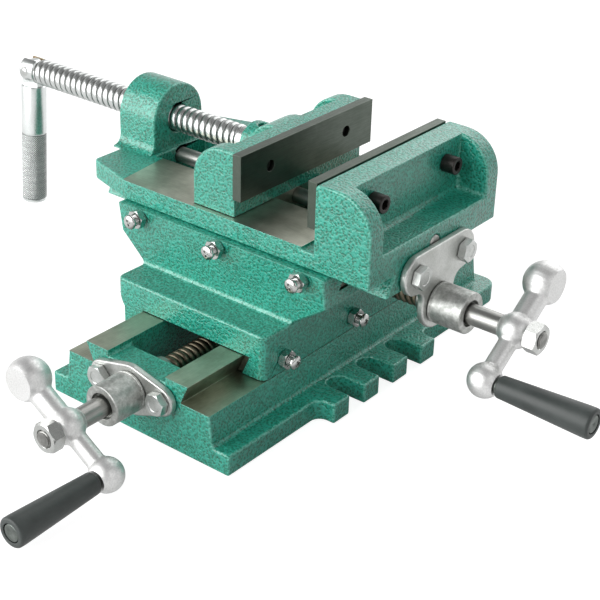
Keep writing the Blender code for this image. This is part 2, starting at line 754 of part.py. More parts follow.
def crank_nut(which, hub):
    origin, direction = FRAMES[which]()
    centre = Vector(origin) + Vector(direction) * hub
    low = HUB_BOSS_FRONT + FIT
    high = low + CRANK_NUT_HEIGHT
    name = f"{which}_crank_nut"
    nut = hexagon_head(name, CRANK_NUT_CORNER, centre, direction, low, high)
    cut(nut, bar(name + "_bore", STUD_RADIUS + FIT, centre, direction, low - PAST, high + PAST, 24))
    return machined(nut, STEEL, 0.2)


def knob_frame(which, hub):
    origin, _ = FRAMES[which]()
    along, outward = crank_directions(which)
    return axis_frame(Vector(origin) + outward * hub - along * SMALL_ARM, outward)


def grip_spindle(which, hub):
    """The rivet that the grip turns on, screwed into the small ball."""
    inner = CRANK_FLAT - SPINDLE_BITE
    head = CRANK_FLAT + GRIP_GAP + GRIP_LENGTH - GRIP_RECESS + FIT
    top = head + SPINDLE_HEAD_HEIGHT
    shoulder = CRANK_FLAT + GRIP_GAP - FIT
    profile = [(0, top), (SPINDLE_HEAD_RADIUS - SPINDLE_EDGE, top), (SPINDLE_HEAD_RADIUS, top - SPINDLE_EDGE),
               (SPINDLE_HEAD_RADIUS, head), (SPINDLE_RADIUS, head), (SPINDLE_RADIUS, shoulder),
               (SPINDLE_SHOULDER_RADIUS, shoulder), (SPINDLE_SHOULDER_RADIUS, CRANK_FLAT + FIT),
               (SPINDLE_RADIUS, CRANK_FLAT + FIT), (SPINDLE_RADIUS, inner), (0, inner)]
    return machined(turned(f"{which}_grip_spindle", profile, knob_frame(which, hub), 16), STEEL, 0.3)


def grip(which, hub):
    """The tapered grip, bored for its spindle and recessed for the spindle's head."""
    low = CRANK_FLAT + GRIP_GAP
    high = low + GRIP_LENGTH
    bore = SPINDLE_RADIUS + FIT
    mouth = SPINDLE_HEAD_RADIUS + FIT
    profile = [(mouth, high), (GRIP_THICK - GRIP_CHAMFER, high), (GRIP_THICK, high - GRIP_CHAMFER),
               (GRIP_THIN, low + GRIP_CHAMFER / 2), (GRIP_THIN - GRIP_CHAMFER / 2, low), (bore, low),
               (bore, high - GRIP_RECESS), (mouth, high - GRIP_RECESS)]
    made = turned(f"{which}_crank_grip", profile, knob_frame(which, hub), 20, ring=True)
    return finish(made, GRIP_GREY, 0.55, 0.0)


# Saddle

def step_undercut():
    """End view of what is missing under the lip on the step's left side."""
    lip = STEP_TOP - STEP_LIP
    slope = STEP_UNDERCUT / (STEP_LEFT - BODY_HALF)
    low, outer = SADDLE_BOTTOM - PAST, -STEP_LEFT - PAST
    return [(-BODY_HALF, low), (-BODY_HALF, lip - STEP_UNDERCUT), (outer, lip + PAST * slope), (outer, low)]


def saddle_casting():
    root = STEP_TOP - BLOCK_ROOT
    end_view = [(BLOCK_REAR - BLOCK_LEAN, root), (BLOCK_REAR, SADDLE_TOP), (BLOCK_FRONT, SADDLE_TOP),
                (BLOCK_FRONT + BLOCK_LEAN, root)]
    saddle = prism("saddle_casting", end_view, "X", BLOCK_LEFT, BLOCK_RIGHT)
    chin = STEP_TOP + BLOCK_CHIN
    side_view = [(BLOCK_LEFT - PAST, SADDLE_TOP + PAST), (BLOCK_LEFT - PAST, chin), (BLOCK_LEFT, chin),
                 (-STEP_LEFT, STEP_TOP), (-STEP_LEFT, root - PAST),
                 (BODY_HALF, root - PAST), (BODY_HALF, STEP_TOP),
                 (BLOCK_RIGHT, chin), (BLOCK_RIGHT + PAST, chin), (BLOCK_RIGHT + PAST, SADDLE_TOP + PAST)]
    combine(saddle, prism("block_side_view", side_view, "Y", BLOCK_FRONT - PAST, BLOCK_REAR + PAST),
            "INTERSECT")
    c = STEP_CORNER
    right, left, y = BODY_HALF - c, c - STEP_LEFT, SADDLE_HALF_LENGTH - c
    plan = (arc(right, y, c, 0, 90, 5) + arc(left, y, c, 90, 180, 5) + arc(left, -y, c, 180, 270, 5)
            + arc(right, -y, c, 270, 360, 5))
    join(saddle, prism("saddle_step", plan, "Z", SADDLE_BOTTOM, STEP_TOP))
    cut(saddle, prism("step_undercut", step_undercut(), "Y", -SADDLE_HALF_LENGTH - PAST,
                      SADDLE_HALF_LENGTH + PAST))
    neck, flare = RAIL_NECK_HALF + FIT, RAIL_FLARE
    gib_room = LOWER_GIB_THICKNESS + FIT
    top = RAIL_TOP + FIT
    slope = RAIL_FLARE / RAIL_RISE
    below = SADDLE_BOTTOM - SINK
    inset = (below - WAY_HEIGHT) * slope
    rise = (top - WAY_HEIGHT) * slope
    lower_way = [(-neck - inset, below), (neck + gib_room + inset, below),
                 (neck + gib_room + rise, top), (-neck - rise, top)]
    cut(saddle, prism("lower_way", lower_way, "Y", -SADDLE_HALF_LENGTH - PAST, SADDLE_HALF_LENGTH + PAST))
    floor = TENON_BOTTOM - FIT
    above = SADDLE_TOP + SINK
    slope = TENON_FLARE / TENON_DEPTH
    wide = TENON_NECK_HALF + TENON_FLARE + FIT + FIT * slope
    narrow = wide - (above - floor) * slope
    gib_room = UPPER_GIB_THICKNESS + FIT
    upper_way = [(-wide - gib_room, floor), (wide, floor), (narrow, above), (-narrow - gib_room, above)]
    cut(saddle, prism("upper_way", upper_way, "X", BLOCK_LEFT - PAST, BLOCK_RIGHT + PAST))
    cut(saddle, prism("screw_trough", rectangle(-TROUGH_HALF, TROUGH_HALF, TROUGH_FLOOR, floor + SINK),
                      "X", BLOCK_LEFT - PAST, BLOCK_RIGHT + PAST))
    for index in range(GIB_SCREW_COUNT):
        for which in ("lower", "upper"):
            origin, direction = gib_screw_line(which, index)
            cut(saddle, bar(f"{which}_gib_bore_{index}", GIB_SCREW_RADIUS + FIT, origin, direction,
                            gib_face(which) - LOWER_GIB_THICKNESS, gib_seat(which) + PAST, 16))
    cut(saddle, bar("lower_nut_screw_bore", NUT_SCREW_RADIUS + FIT, (0, 0, 0), (0, 0, 1),
                    RAIL_TOP - SINK, TROUGH_FLOOR + SINK, 16))
    head_top = RAIL_TOP + FIT + NUT_SCREW_HEAD_HEIGHT + 2 * FIT
    cut(saddle, bar("upper_nut_screw_bore", NUT_SCREW_RADIUS + FIT, (UPPER_NUT_X, 0, 0), (0, 0, 1),
                    RAIL_TOP - SINK, TROUGH_FLOOR + SINK, 16))
    cut(saddle, bar("upper_nut_head_bore", NUT_SCREW_HEAD + FIT, (UPPER_NUT_X, 0, 0), (0, 0, 1),
                    RAIL_TOP - SINK, head_top, 20))
    return painted(saddle)


def lower_gib():
    """The wedge strip between the base's right rail and the saddle."""
    slope = RAIL_FLARE / RAIL_RISE
    low, high = SADDLE_BOTTOM + FIT, RAIL_TOP - FIT
    inner = RAIL_NECK_HALF + FIT
    outer = inner + LOWER_GIB_THICKNESS - FIT
    rise_low, rise_high = (low - WAY_HEIGHT) * slope, (high - WAY_HEIGHT) * slope
    outline = [(inner + rise_low, low), (outer + rise_low, low),
               (outer + rise_high, high), (inner + rise_high, high)]
    end = SADDLE_HALF_LENGTH - GIB_END_GAP
    return machined(prism("lower_gib", outline, "Y", -end, end), MACHINED, 0.4)


def upper_gib():
    """The strip between the vise body's front dovetail face and the saddle."""
    slope = TENON_FLARE / TENON_DEPTH
    low, high = TENON_BOTTOM + FIT, FLANGE_BOTTOM - 2 * FIT
    face_low = TENON_NECK_HALF + TENON_FLARE - FIT * slope + FIT
    face_high = face_low - (high - low) * slope
    thick = UPPER_GIB_THICKNESS - FIT
    outline = [(-face_low, low), (-face_high, high), (-face_high - thick, high), (-face_low - thick, low)]
    return machined(prism("upper_gib", outline, "X", BLOCK_LEFT + GIB_END_GAP,
                          BLOCK_RIGHT - GIB_END_GAP), MACHINED, 0.4)


def gib_screw_line(which, index):
    step = index - (GIB_SCREW_COUNT - 1) / 2
    if which == "lower":
        return (0, LOWER_GIB_MIDDLE + step * LOWER_GIB_PITCH, WAY_HEIGHT + LOWER_GIB_HEIGHT), (1, 0, 0)
    return (UPPER_GIB_MIDDLE + step * UPPER_GIB_PITCH, 0, SADDLE_TOP - UPPER_GIB_DROP), (0, -1, 0)


def gib_face(which):
    """Distance along the screw's line to the gib's outer face at the screw's height."""
    if which == "lower":
        return (RAIL_NECK_HALF + FIT + LOWER_GIB_THICKNESS - FIT
                + (LOWER_GIB_HEIGHT + GIB_SCREW_RADIUS) * RAIL_FLARE / RAIL_RISE)
    drop = UPPER_GIB_DROP + FIT + GIB_SCREW_RADIUS
    return TENON_NECK_HALF + drop * TENON_FLARE / TENON_DEPTH + UPPER_GIB_THICKNESS


def gib_seat(which):
    """Distance along the screw's line to the saddle's outer wall."""
    if which == "lower":
        return BODY_HALF
    return -BLOCK_FRONT


def gib_screw(which, index):
    """A cheese headed adjusting screw whose tip rests on the gib."""
    origin, direction = gib_screw_line(which, index)
    tip = gib_face(which) + FIT
    neck = gib_seat(which) + FIT + GIB_NUT_HEIGHT + GIB_NECK
    head = neck + GIB_HEAD_HEIGHT
    profile = [(0, head), (GIB_HEAD_FLAT, head), (GIB_HEAD_RADIUS, head - GIB_HEAD_EDGE),
               (GIB_HEAD_RADIUS, neck), (GIB_SCREW_RADIUS, neck), (GIB_SCREW_RADIUS, tip + GIB_TIP_EDGE),
               (GIB_SCREW_RADIUS - GIB_TIP_EDGE, tip), (0, tip)]
    made = turned(f"{which}_gib_screw_{index + 1}", profile, axis_frame(origin, direction), 12)
    return machined(made, STEEL, 0.2)


def gib_nut(which, index):
    origin, direction = gib_screw_line(which, index)
    low = gib_seat(which) + FIT
    high = low + GIB_NUT_HEIGHT
    name = f"{which}_gib_nut_{index + 1}"
    nut = hexagon_head(name, GIB_NUT_CORNER, origin, direction, low, high)
    cut(nut, bar(name + "_bore", GIB_SCREW_RADIUS + FIT, origin, direction, low - PAST, high + PAST, 12))
    return machined(nut, STEEL, 0.2)


def lower_nut():
    """The bronze nut that hangs from the saddle on the lower screw."""
    top = RAIL_TOP
    outline = mirrored([(LOWER_NUT_HALF_WIDTH, LOWER_AXIS_Z), (LOWER_NUT_HALF_WIDTH, top)])
    outline = arc(0, LOWER_AXIS_Z, LOWER_NUT_BELOW, 200, 340) + outline
    nut = prism("lower_nut", outline, "Y", -NUT_HALF_LENGTH, NUT_HALF_LENGTH,
                [circle(0, LOWER_AXIS_Z, LEAD_RADIUS + SHAFT_FIT, 24)])
    cut(nut, bar("lower_nut_tapping", NUT_SCREW_RADIUS + FIT, (0, 0, 0), (0, 0, 1),
                 LOWER_AXIS_Z + LEAD_RADIUS + NUT_SCREW_GAP, RAIL_TOP + PAST, 16))
    return machined(nut, BRONZE, 0.4)


def upper_nut():
    """The bronze nut that sits in the saddle's trough on the upper screw."""
    top = UPPER_AXIS_Z + UPPER_NUT_ABOVE
    half = TROUGH_HALF - FIT
    outline = mirrored([(half, TROUGH_FLOOR + FIT), (half, UPPER_AXIS_Z), (half * UPPER_NUT_TOP_SHARE, top)])
    nut = prism("upper_nut", outline, "X", UPPER_NUT_X - NUT_HALF_LENGTH, UPPER_NUT_X + NUT_HALF_LENGTH,
                [circle(0, UPPER_AXIS_Z, LEAD_RADIUS + SHAFT_FIT, 24)])
    cut(nut, bar("upper_nut_tapping", NUT_SCREW_RADIUS + FIT, (UPPER_NUT_X, 0, 0), (0, 0, 1),
                 TROUGH_FLOOR - PAST, UPPER_AXIS_Z - LEAD_RADIUS - NUT_SCREW_GAP, 16))
    return machined(nut, BRONZE, 0.4)


def nut_screw(which):
    """The cap screw that holds a bronze nut to the saddle."""
    if which == "lower":
        seat, tip, sense, x = TROUGH_FLOOR + FIT, LOWER_AXIS_Z + LEAD_RADIUS + NUT_SCREW_GAP + FIT, 1, 0
    else:
        seat = -(RAIL_TOP + FIT + NUT_SCREW_HEAD_HEIGHT + FIT)
        tip, sense, x = -(UPPER_AXIS_Z - LEAD_RADIUS - NUT_SCREW_GAP - FIT), -1, UPPER_NUT_X
    head = seat + NUT_SCREW_HEAD_HEIGHT
    profile = [(0, head), (NUT_SCREW_HEAD, head), (NUT_SCREW_HEAD, seat), (NUT_SCREW_RADIUS, seat),
               (NUT_SCREW_RADIUS, tip), (0, tip)]
    made = turned(f"{which}_nut_screw", profile, axis_frame((x, 0, 0), (0, 0, sense)), 20)
    return machined(made, BLACK, 0.4)


# Vise body

def lug_outline():
    """End view of the screw lug: a round top and fillets where it meets the flange."""
    f = LUG_FILLET
    foot = FLANGE_TOP - SINK
    right = [(LUG_RADIUS + f, foot)] + arc(LUG_RADIUS + f, FLANGE_TOP + f, f, 270, 180, 5)
    right += arc(0, JAW_AXIS_Z, LUG_RADIUS, 0, 90, 10)
    return mirrored(right)


def flange_plan():
    """Plan of the flange, narrowed at the rear, with the root of the lug standing out behind."""
    rear = BODY_LEFT
    taper = FLANGE_HALF - FLANGE_TAPER
    f = LUG_FILLET
    half = [(BODY_RIGHT, FLANGE_HALF), (rear + FLANGE_TAPER_LENGTH, FLANGE_HALF),
            (rear + FLANGE_CORNER, taper), (rear, taper - FLANGE_CORNER)]
    half += arc(rear - f, LUG_RADIUS + f, f, 0, -90, 5)
    half += [(LUG_REAR, LUG_RADIUS)]
    return half + [(x, -y) for x, y in reversed(half)]


def fixed_jaw_outline():
    r = JAW_BACK_RADIUS
    top = arc(BODY_RIGHT - r, JAW_TOP - r, r, 90, 0, 10)
    front = [(FIXED_FACE, FLANGE_TOP - SINK), (FIXED_FACE, JAW_TOP - JAW_EDGE),
             (FIXED_FACE + JAW_EDGE, JAW_TOP)]
    return front + top + [(BODY_RIGHT, FLANGE_TOP - SINK)]


def fixed_pocket_outline():
    """Side view of the pocket behind the fixed jaw, with a fillet where its floor meets the wall."""
    r = POCKET_RADIUS
    wall, floor, back = FIXED_FACE + POCKET_WALL, FLANGE_TOP + POCKET_FLOOR, BODY_RIGHT + PAST
    return ([(back, JAW_TOP + PAST), (wall, JAW_TOP + PAST)] + arc(wall + r, floor + r, r, 180, 270, 4)
            + [(back, floor)])


def vise_body():
    body = prism("vise_body", flange_plan(), "Z", FLANGE_BOTTOM, FLANGE_TOP)
    neck, bottom = TENON_NECK_HALF, TENON_NECK_HALF + TENON_FLARE
    tenon = mirrored([(bottom, TENON_BOTTOM), (neck, FLANGE_BOTTOM), (neck, FLANGE_BOTTOM + SINK)])
    join(body, prism("tenon", tenon, "X", BODY_LEFT + TENON_INSET, BODY_RIGHT))
    join(body, prism("lug", lug_outline(), "X", LUG_REAR, LUG_FRONT))
    join(body, prism("fixed_jaw", fixed_jaw_outline(), "Y", -FLANGE_HALF, FLANGE_HALF))
    inside = FLANGE_HALF - CHEEK
    cut(body, prism("fixed_jaw_pocket", fixed_pocket_outline(), "Y", -inside, inside))
    relief = rectangle(FIXED_FACE - RELIEF_WIDTH, FIXED_FACE, FLANGE_TOP - RELIEF_DEPTH, FLANGE_TOP + SINK)
    cut(body, prism("relief_groove", relief, "Y", -FLANGE_HALF - PAST, FLANGE_HALF + PAST))
    window = rectangle(SLOT_LEFT, SLOT_RIGHT, -SLOT_HALF, SLOT_HALF)
    cut(body, prism("way_slot", window, "Z", TENON_BOTTOM - PAST, FLANGE_TOP + SINK))
    cut(body, bar("jaw_screw_bore", JAW_SCREW_RADIUS + SHAFT_FIT, (0, 0, JAW_AXIS_Z), (1, 0, 0),
                  LUG_REAR - PAST, LUG_FRONT + PAST, FINE_ROUND))
    cut(body, bar("guide_bore", GUIDE_RADIUS + FIT, (0, 0, GUIDE_Z), (1, 0, 0),
                  SLOT_LEFT - GUIDE_SEAT - FIT, BODY_RIGHT + PAST, 24))
    for side in (1, -1):
        cut(body, bar(f"fixed_plate_bore_{side}", PLATE_SCREW_RADIUS + FIT,
                      (0, side * PLATE_SCREW_HALF_PITCH, PLATE_SCREW_Z), (1, 0, 0),
                      FIXED_FACE - PAST, FIXED_FACE + POCKET_WALL + PAST, 16))
        cut(body, bracket_bolt_bore("upper", side, UPPER_PLATE))
    return painted(body)


def guide_rod():
    left = SLOT_LEFT - GUIDE_SEAT
    made = bar("guide_rod", GUIDE_RADIUS, (0, 0, GUIDE_Z), (1, 0, 0), left, BODY_RIGHT, 24)
    return machined(made, STEEL, 0.3)


def jaw_plate(which):
    """A ground steel jaw plate with two tapped holes."""
    face = {"fixed": FIXED_PLATE_FACE, "moving": MOVING_PLATE_FACE - PLATE_THICKNESS}[which]
    half = PLATE_LENGTH / 2
    outline = rectangle(-half, half, JAW_TOP - PLATE_HEIGHT, JAW_TOP)
    holes = [circle(side * PLATE_SCREW_HALF_PITCH, PLATE_SCREW_Z, PLATE_SCREW_RADIUS + FIT, 16)
             for side in (1, -1)]
    made = prism(f"{which}_jaw_plate", outline, "X", face, face + PLATE_THICKNESS, holes)
    return machined(made, DARK_STEEL, 0.35)


def plate_screw(which, side):
    """A socket head screw driven through the jaw from behind into the plate."""
    fixed = which == "fixed"
    sense = 1 if fixed else -1
    seat = (FIXED_FACE + POCKET_WALL if fixed else -(MOVING_FACE - MOVING_WALL)) + FIT
    plate_back = FIXED_FACE - FIT if fixed else -(MOVING_FACE + FIT)
    tip = plate_back - PLATE_SCREW_BITE
    head = seat + PLATE_HEAD_HEIGHT
    key = head - PLATE_KEY_DEPTH
    profile = [(0, key), (PLATE_KEY_RADIUS, key), (PLATE_KEY_RADIUS, head),
               (PLATE_HEAD_RADIUS - PLATE_HEAD_EDGE, head), (PLATE_HEAD_RADIUS, head - PLATE_HEAD_EDGE),
               (PLATE_HEAD_RADIUS, seat), (PLATE_SCREW_RADIUS, seat), (PLATE_SCREW_RADIUS, tip), (0, tip)]
    frame = axis_frame((0, side * PLATE_SCREW_HALF_PITCH, PLATE_SCREW_Z), (sense, 0, 0))
    name = f"{which}_plate_screw_{'right' if side > 0 else 'left'}"
    return machined(turned(name, profile, frame, 16), BLACK, 0.4)


# Moving jaw

def moving_jaw():
    """The sliding jaw: a front wall, two cheeks, a screw boss and a keel in the slot."""
    rear = MOVING_FACE - MOVING_DEPTH
    seat = FLANGE_TOP + FIT
    top = JAW_TOP - MOVING_TOP_DROP
    r = MOVING_BACK_RADIUS
    side = ([(MOVING_FACE, seat), (MOVING_FACE, top)] + arc(rear + r, top - r, r, 90, 180, 8)
            + [(rear, seat)])
    jaw = prism("moving_jaw", side, "Y", -MOVING_HALF, MOVING_HALF)
    wall = MOVING_FACE - MOVING_WALL
    pocket = [(rear - PAST, seat - PAST), (wall, seat - PAST), (wall, top + PAST), (rear - PAST, top + PAST)]
    for sign in (1, -1):
        low, high = sorted((sign * (BOSS_RADIUS - BOSS_OVERLAP), sign * (MOVING_HALF - CHEEK)))
        cut(jaw, prism(f"moving_jaw_pocket_{sign}", pocket, "Y", low, high))
    boss = [(BOSS_RADIUS, seat)] + arc(0, JAW_AXIS_Z, BOSS_RADIUS, 0, 90, 10)
    join(jaw, prism("boss", mirrored(boss), "X", BOSS_REAR, wall + SINK))
    keel_half = SLOT_HALF - KEEL_HALF_GAP
    keel_top = seat + SINK
    keel = rectangle(-keel_half, keel_half, FLANGE_TOP - KEEL_DROP, keel_top)
    join(jaw, prism("keel", keel, "X", MOVING_FACE - KEEL_LENGTH, MOVING_FACE - KEEL_INSET))
    cut(jaw, bar("guide_slide_bore", GUIDE_RADIUS + SHAFT_FIT, (0, 0, GUIDE_Z), (1, 0, 0),
                 MOVING_FACE - KEEL_LENGTH - PAST, MOVING_FACE + PAST, 24))
    cut(jaw, bar("nose_bore", JAW_SCREW_RADIUS + SHAFT_FIT, (0, 0, JAW_AXIS_Z), (1, 0, 0),
                 BOSS_REAR - PAST, NOSE_TIP + FIT, FINE_ROUND))
    cut(jaw, bar("set_screw_bore", SET_SCREW_RADIUS + FIT, (SET_SCREW_X, 0, JAW_AXIS_Z), (0, 0, 1),
                 GROOVE_RADIUS, BOSS_RADIUS + PAST, 20))
    for sign in (1, -1):
        cut(jaw, bar(f"moving_plate_bore_{sign}", PLATE_SCREW_RADIUS + FIT,
                     (0, sign * PLATE_SCREW_HALF_PITCH, PLATE_SCREW_Z), (1, 0, 0),
                     wall - PAST, MOVING_FACE + PAST, 16))
    return painted(jaw)


def jaw_set_screw():
    """The grub screw that keeps the jaw screw's nose in the boss by its groove."""
    frame_origin = (SET_SCREW_X, 0, JAW_AXIS_Z)
    made = bar("jaw_set_screw", SET_SCREW_RADIUS, frame_origin, (0, 0, 1), GROOVE_RADIUS + FIT,
               BOSS_RADIUS - SET_SCREW_SINK, 20)
    return machined(made, DARK_STEEL, 0.4)


# Jaw screw and handle

def lean(direction):
    """Turn a direction about the jaw screw by the angle that the handle leans at."""
    return Matrix.Rotation(math.radians(-HANDLE_LEAN), 3, "X") @ Vector(direction)


def jaw_screw():
    """The jaw screw, from its grooved nose in the boss to its forked outer end."""
    nose = NOSE_TIP
    half = GROOVE_WIDTH / 2 + FIT
    end = HANDLE_PIN_X - FORK_END
    r = JAW_SCREW_RADIUS
    profile = [(0, nose), (r - NOSE_EDGE, nose), (r, nose - NOSE_EDGE), (r, SET_SCREW_X + half),
               (GROOVE_RADIUS, SET_SCREW_X + half), (GROOVE_RADIUS, SET_SCREW_X - half),
               (r, SET_SCREW_X - half), (r, end + FORK_EDGE), (r - FORK_EDGE, end), (0, end)]
    screw = turned("jaw_screw", profile, axis_frame((0, 0, JAW_AXIS_Z), (1, 0, 0)), ROUND)
    wide = r + PAST
    slot = rectangle(end - PAST, HANDLE_PIN_X + FORK_DEPTH, -wide, wide)
    cutter = prism("fork_slot", slot, "Y", -FORK_SLOT / 2, FORK_SLOT / 2)
    turn = Matrix.Rotation(math.radians(-HANDLE_LEAN), 4, "X")
    cutter.matrix_world = Matrix.Translation((0, 0, JAW_AXIS_Z)) @ turn @ cutter.matrix_world
    cut(screw, cutter)
    cut(screw, bar("handle_pin_bore", HANDLE_PIN_RADIUS + FIT, (HANDLE_PIN_X, 0, JAW_AXIS_Z),
                   lean((0, 1, 0)), -wide, wide, 20))
    return machined(screw, STEEL, 0.15)


def handle_pin():
    """The rivet through the fork, whose chamfered ends stand a little proud of it."""
    half, r, e = JAW_SCREW_RADIUS + HANDLE_PIN_PROUD, HANDLE_PIN_RADIUS, HANDLE_PIN_EDGE
    profile = [(0, half), (r - e, half), (r, half - e), (r, e - half), (r - e, -half), (0, -half)]
    frame = axis_frame((HANDLE_PIN_X, 0, JAW_AXIS_Z), lean((0, 1, 0)))
    return machined(turned("handle_pin", profile, frame, 20), STEEL, 0.2)


def jaw_handle():
    """The round handle with a flat tongue that folds in the fork."""
    pin = (HANDLE_PIN_X, 0, JAW_AXIS_Z)
    down = lean((0, 0, -1))
    r, e = HANDLE_RADIUS, HANDLE_END_ROUND
    profile = [(0, HANDLE_LENGTH)]
    profile += [(u, v) for u, v in arc(r - e, HANDLE_LENGTH - e, e, 90, 0, 4)]
    profile += [(r, HANDLE_SHOULDER + HANDLE_EDGE), (r - HANDLE_EDGE, HANDLE_SHOULDER), (0, HANDLE_SHOULDER)]
    handle = turned("jaw_handle", profile, axis_frame(pin, down), 24)
    t = TONGUE_RADIUS
    root = HANDLE_SHOULDER + SINK
    tongue = [(t, root)] + arc(0, 0, t, 0, -180, 12) + [(-t, root)]
    flat = prism("tongue", tongue, "X", -FORK_SLOT / 2 + FIT, FORK_SLOT / 2 - FIT,
                 [circle(0, 0, HANDLE_PIN_RADIUS + FIT, 20)])
    across, along = Vector((1, 0, 0)), down
    through = across.cross(along)
    place = Matrix((across, along, through)).transposed().to_4x4()
    flat.matrix_world = Matrix.Translation(Vector(pin)) @ place @ basis("X").inverted() @ flat.matrix_world
    join(handle, flat)
    return machined(handle, STEEL, 0.12)


def build():
    lower_hub = LOWER_PLATE + BRACKET_THICKNESS + FIT + DIAL_LENGTH + LOWER_HUB_GAP
    upper_hub = UPPER_PLATE + BRACKET_THICKNESS + FIT + DIAL_LENGTH + UPPER_HUB_GAP
    base = [base_casting(), bracket("lower", LOWER_PLATE)]
    base += [bracket_bolt("lower", side, LOWER_PLATE) for side in (1, -1)]
    root = group("base", (0, 0, 0), base)

    saddle = [saddle_casting(), lower_gib(), upper_gib(), lower_nut(), upper_nut(),
              nut_screw("lower"), nut_screw("upper")]
    for index in range(GIB_SCREW_COUNT):
        for which in ("lower", "upper"):
            saddle += [gib_screw(which, index), gib_nut(which, index)]
    saddle_group = group("saddle", (0, 0, WAY_HEIGHT), saddle, root)

    body = [vise_body(), bracket("upper", UPPER_PLATE), guide_rod(), jaw_plate("fixed")]
    body += [bracket_bolt("upper", side, UPPER_PLATE) for side in (1, -1)]
    body += [plate_screw("fixed", side) for side in (1, -1)]
    body_group = group("body", (0, 0, FLANGE_BOTTOM), body, saddle_group)

    cranks = (("lower", LOWER_PLATE, LOWER_SCREW_REACH, lower_hub, root),
              ("upper", UPPER_PLATE, UPPER_SCREW_REACH, upper_hub, body_group))
    for which, plate, reach, hub, carrier in cranks:
        origin, direction = FRAMES[which]()
        turning = [cross_screw(which, plate, reach, hub), dial(which, plate), dial_screw(which, plate),
                   crank_arm(which, hub), crank_nut(which, hub), grip_spindle(which, hub)]
        hub_point = Vector(origin) + Vector(direction) * hub
        crank_group = group(f"{which}_crank", hub_point, turning, carrier)
        group(f"{which}_grip", knob_frame(which, hub).translation, [grip(which, hub)], crank_group)

    jaw = [moving_jaw(), jaw_plate("moving"), jaw_set_screw()]
    jaw += [plate_screw("moving", side) for side in (1, -1)]
    jaw_group = group("jaw", (MOVING_FACE, 0, FLANGE_TOP), jaw, body_group)
    pin = (HANDLE_PIN_X, 0, JAW_AXIS_Z)
    screw_group = group("screw", pin, [jaw_screw(), handle_pin()], jaw_group)
    group("handle", pin, [jaw_handle()], screw_group)


build()
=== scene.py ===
# %% [markdown]
# # A cross slide vise, dressed for its picture
# The solids of the vise already exist: two crossed dovetail slides, two ball cranks, a pair
# of jaws and a folding handle. This lesson gives each one the surface it has on the bench.
# It loads the solids as a fixed frame first, because every piece that follows takes its
# place from them and nothing is ever fitted by eye afterwards.

# %% Load the solids
import json
import math

import bmesh
import bpy
from mathutils import Matrix, Vector
from mathutils.bvhtree import BVHTree


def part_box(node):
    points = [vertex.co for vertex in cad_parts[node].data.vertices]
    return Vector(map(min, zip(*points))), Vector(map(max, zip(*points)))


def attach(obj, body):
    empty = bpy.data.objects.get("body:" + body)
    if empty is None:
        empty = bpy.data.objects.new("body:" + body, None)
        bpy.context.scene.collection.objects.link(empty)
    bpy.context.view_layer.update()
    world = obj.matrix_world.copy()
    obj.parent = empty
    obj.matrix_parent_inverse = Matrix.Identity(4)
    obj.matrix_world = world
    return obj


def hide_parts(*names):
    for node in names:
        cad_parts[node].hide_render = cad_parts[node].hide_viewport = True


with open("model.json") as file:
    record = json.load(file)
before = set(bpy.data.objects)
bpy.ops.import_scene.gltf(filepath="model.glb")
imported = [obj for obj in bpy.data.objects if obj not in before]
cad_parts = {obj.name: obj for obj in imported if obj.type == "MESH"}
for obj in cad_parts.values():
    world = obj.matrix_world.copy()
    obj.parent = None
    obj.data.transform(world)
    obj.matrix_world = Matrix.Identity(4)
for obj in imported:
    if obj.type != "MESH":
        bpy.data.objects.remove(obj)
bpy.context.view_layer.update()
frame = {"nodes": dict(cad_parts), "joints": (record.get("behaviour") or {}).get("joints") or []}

joints = {joint["name"]: joint for joint in frame["joints"]}

# %% [markdown]
# ## The camera
# A camera can be guessed until the picture looks right, or worked out. Here it was worked
# out: the long edges of the base, the saddle and the jaw plates run along two square
# directions, and one camera makes them all meet the picture's own lines. A bearing, a
# height above the horizon, a small roll and a distance hold all of it, so those are the
# values kept here.

# %% Stand the camera where the picture was taken
VIEW_BEARING = math.radians(37.86)
VIEW_HEIGHT = math.radians(28.32)
VIEW_ROLL = math.radians(1.66)
CAMERA_PLACE = Vector((0.4034, -0.5068, 0.3750))
SENSOR = 36.0
FOCAL_SHARE = 1451 / 600

right = Vector((math.cos(VIEW_BEARING), math.sin(VIEW_BEARING), 0))
back = Vector((math.sin(VIEW_BEARING) * math.cos(VIEW_HEIGHT),
               -math.cos(VIEW_BEARING) * math.cos(VIEW_HEIGHT), math.sin(VIEW_HEIGHT)))
up = back.cross(right)
rolled_right = right * math.cos(VIEW_ROLL) + up * math.sin(VIEW_ROLL)
rolled_up = up * math.cos(VIEW_ROLL) - right * math.sin(VIEW_ROLL)
camera_data = bpy.data.cameras.new("picture_camera")
camera_data.sensor_width = SENSOR
camera_data.lens = SENSOR * FOCAL_SHARE
camera_data.clip_start, camera_data.clip_end = 0.05, 20
camera = bpy.data.objects.new("picture_camera", camera_data)
camera.matrix_world = (Matrix.Translation(CAMERA_PLACE)
                       @ Matrix((rolled_right, rolled_up, back)).transposed().to_4x4())
bpy.context.scene.collection.objects.link(camera)
bpy.context.scene.camera = camera
print(f"lens {camera_data.lens:.1f} mm, {CAMERA_PLACE.length:.2f} m from the origin")

# %% [markdown]
# ## A pale table and soft light
# The object stands on a white table in soft light. A white background could be had by
# turning the lamps up until everything burns out, but then the enamel would burn out too.
# Instead the floor and the world look white only to the camera and to mirror-like rays,
# while the lamps stay at a plain level. The table keeps the object's shadow, because part
# of its white is real light that the object can block. A mirror-like ray that lands close
# to the object finds the table dim, as it is there in the object's own shade.

# %% Build the table, the world and the lamps
FLOOR_HALF = 3.0
WHITE = (1.0, 1.0, 1.0, 1.0)
ROOM_SIDE = (0.72, -0.69, 0.0)
WORLD_LIGHT = 0.13


def link(tree, source, target):
    tree.links.new(source, target)


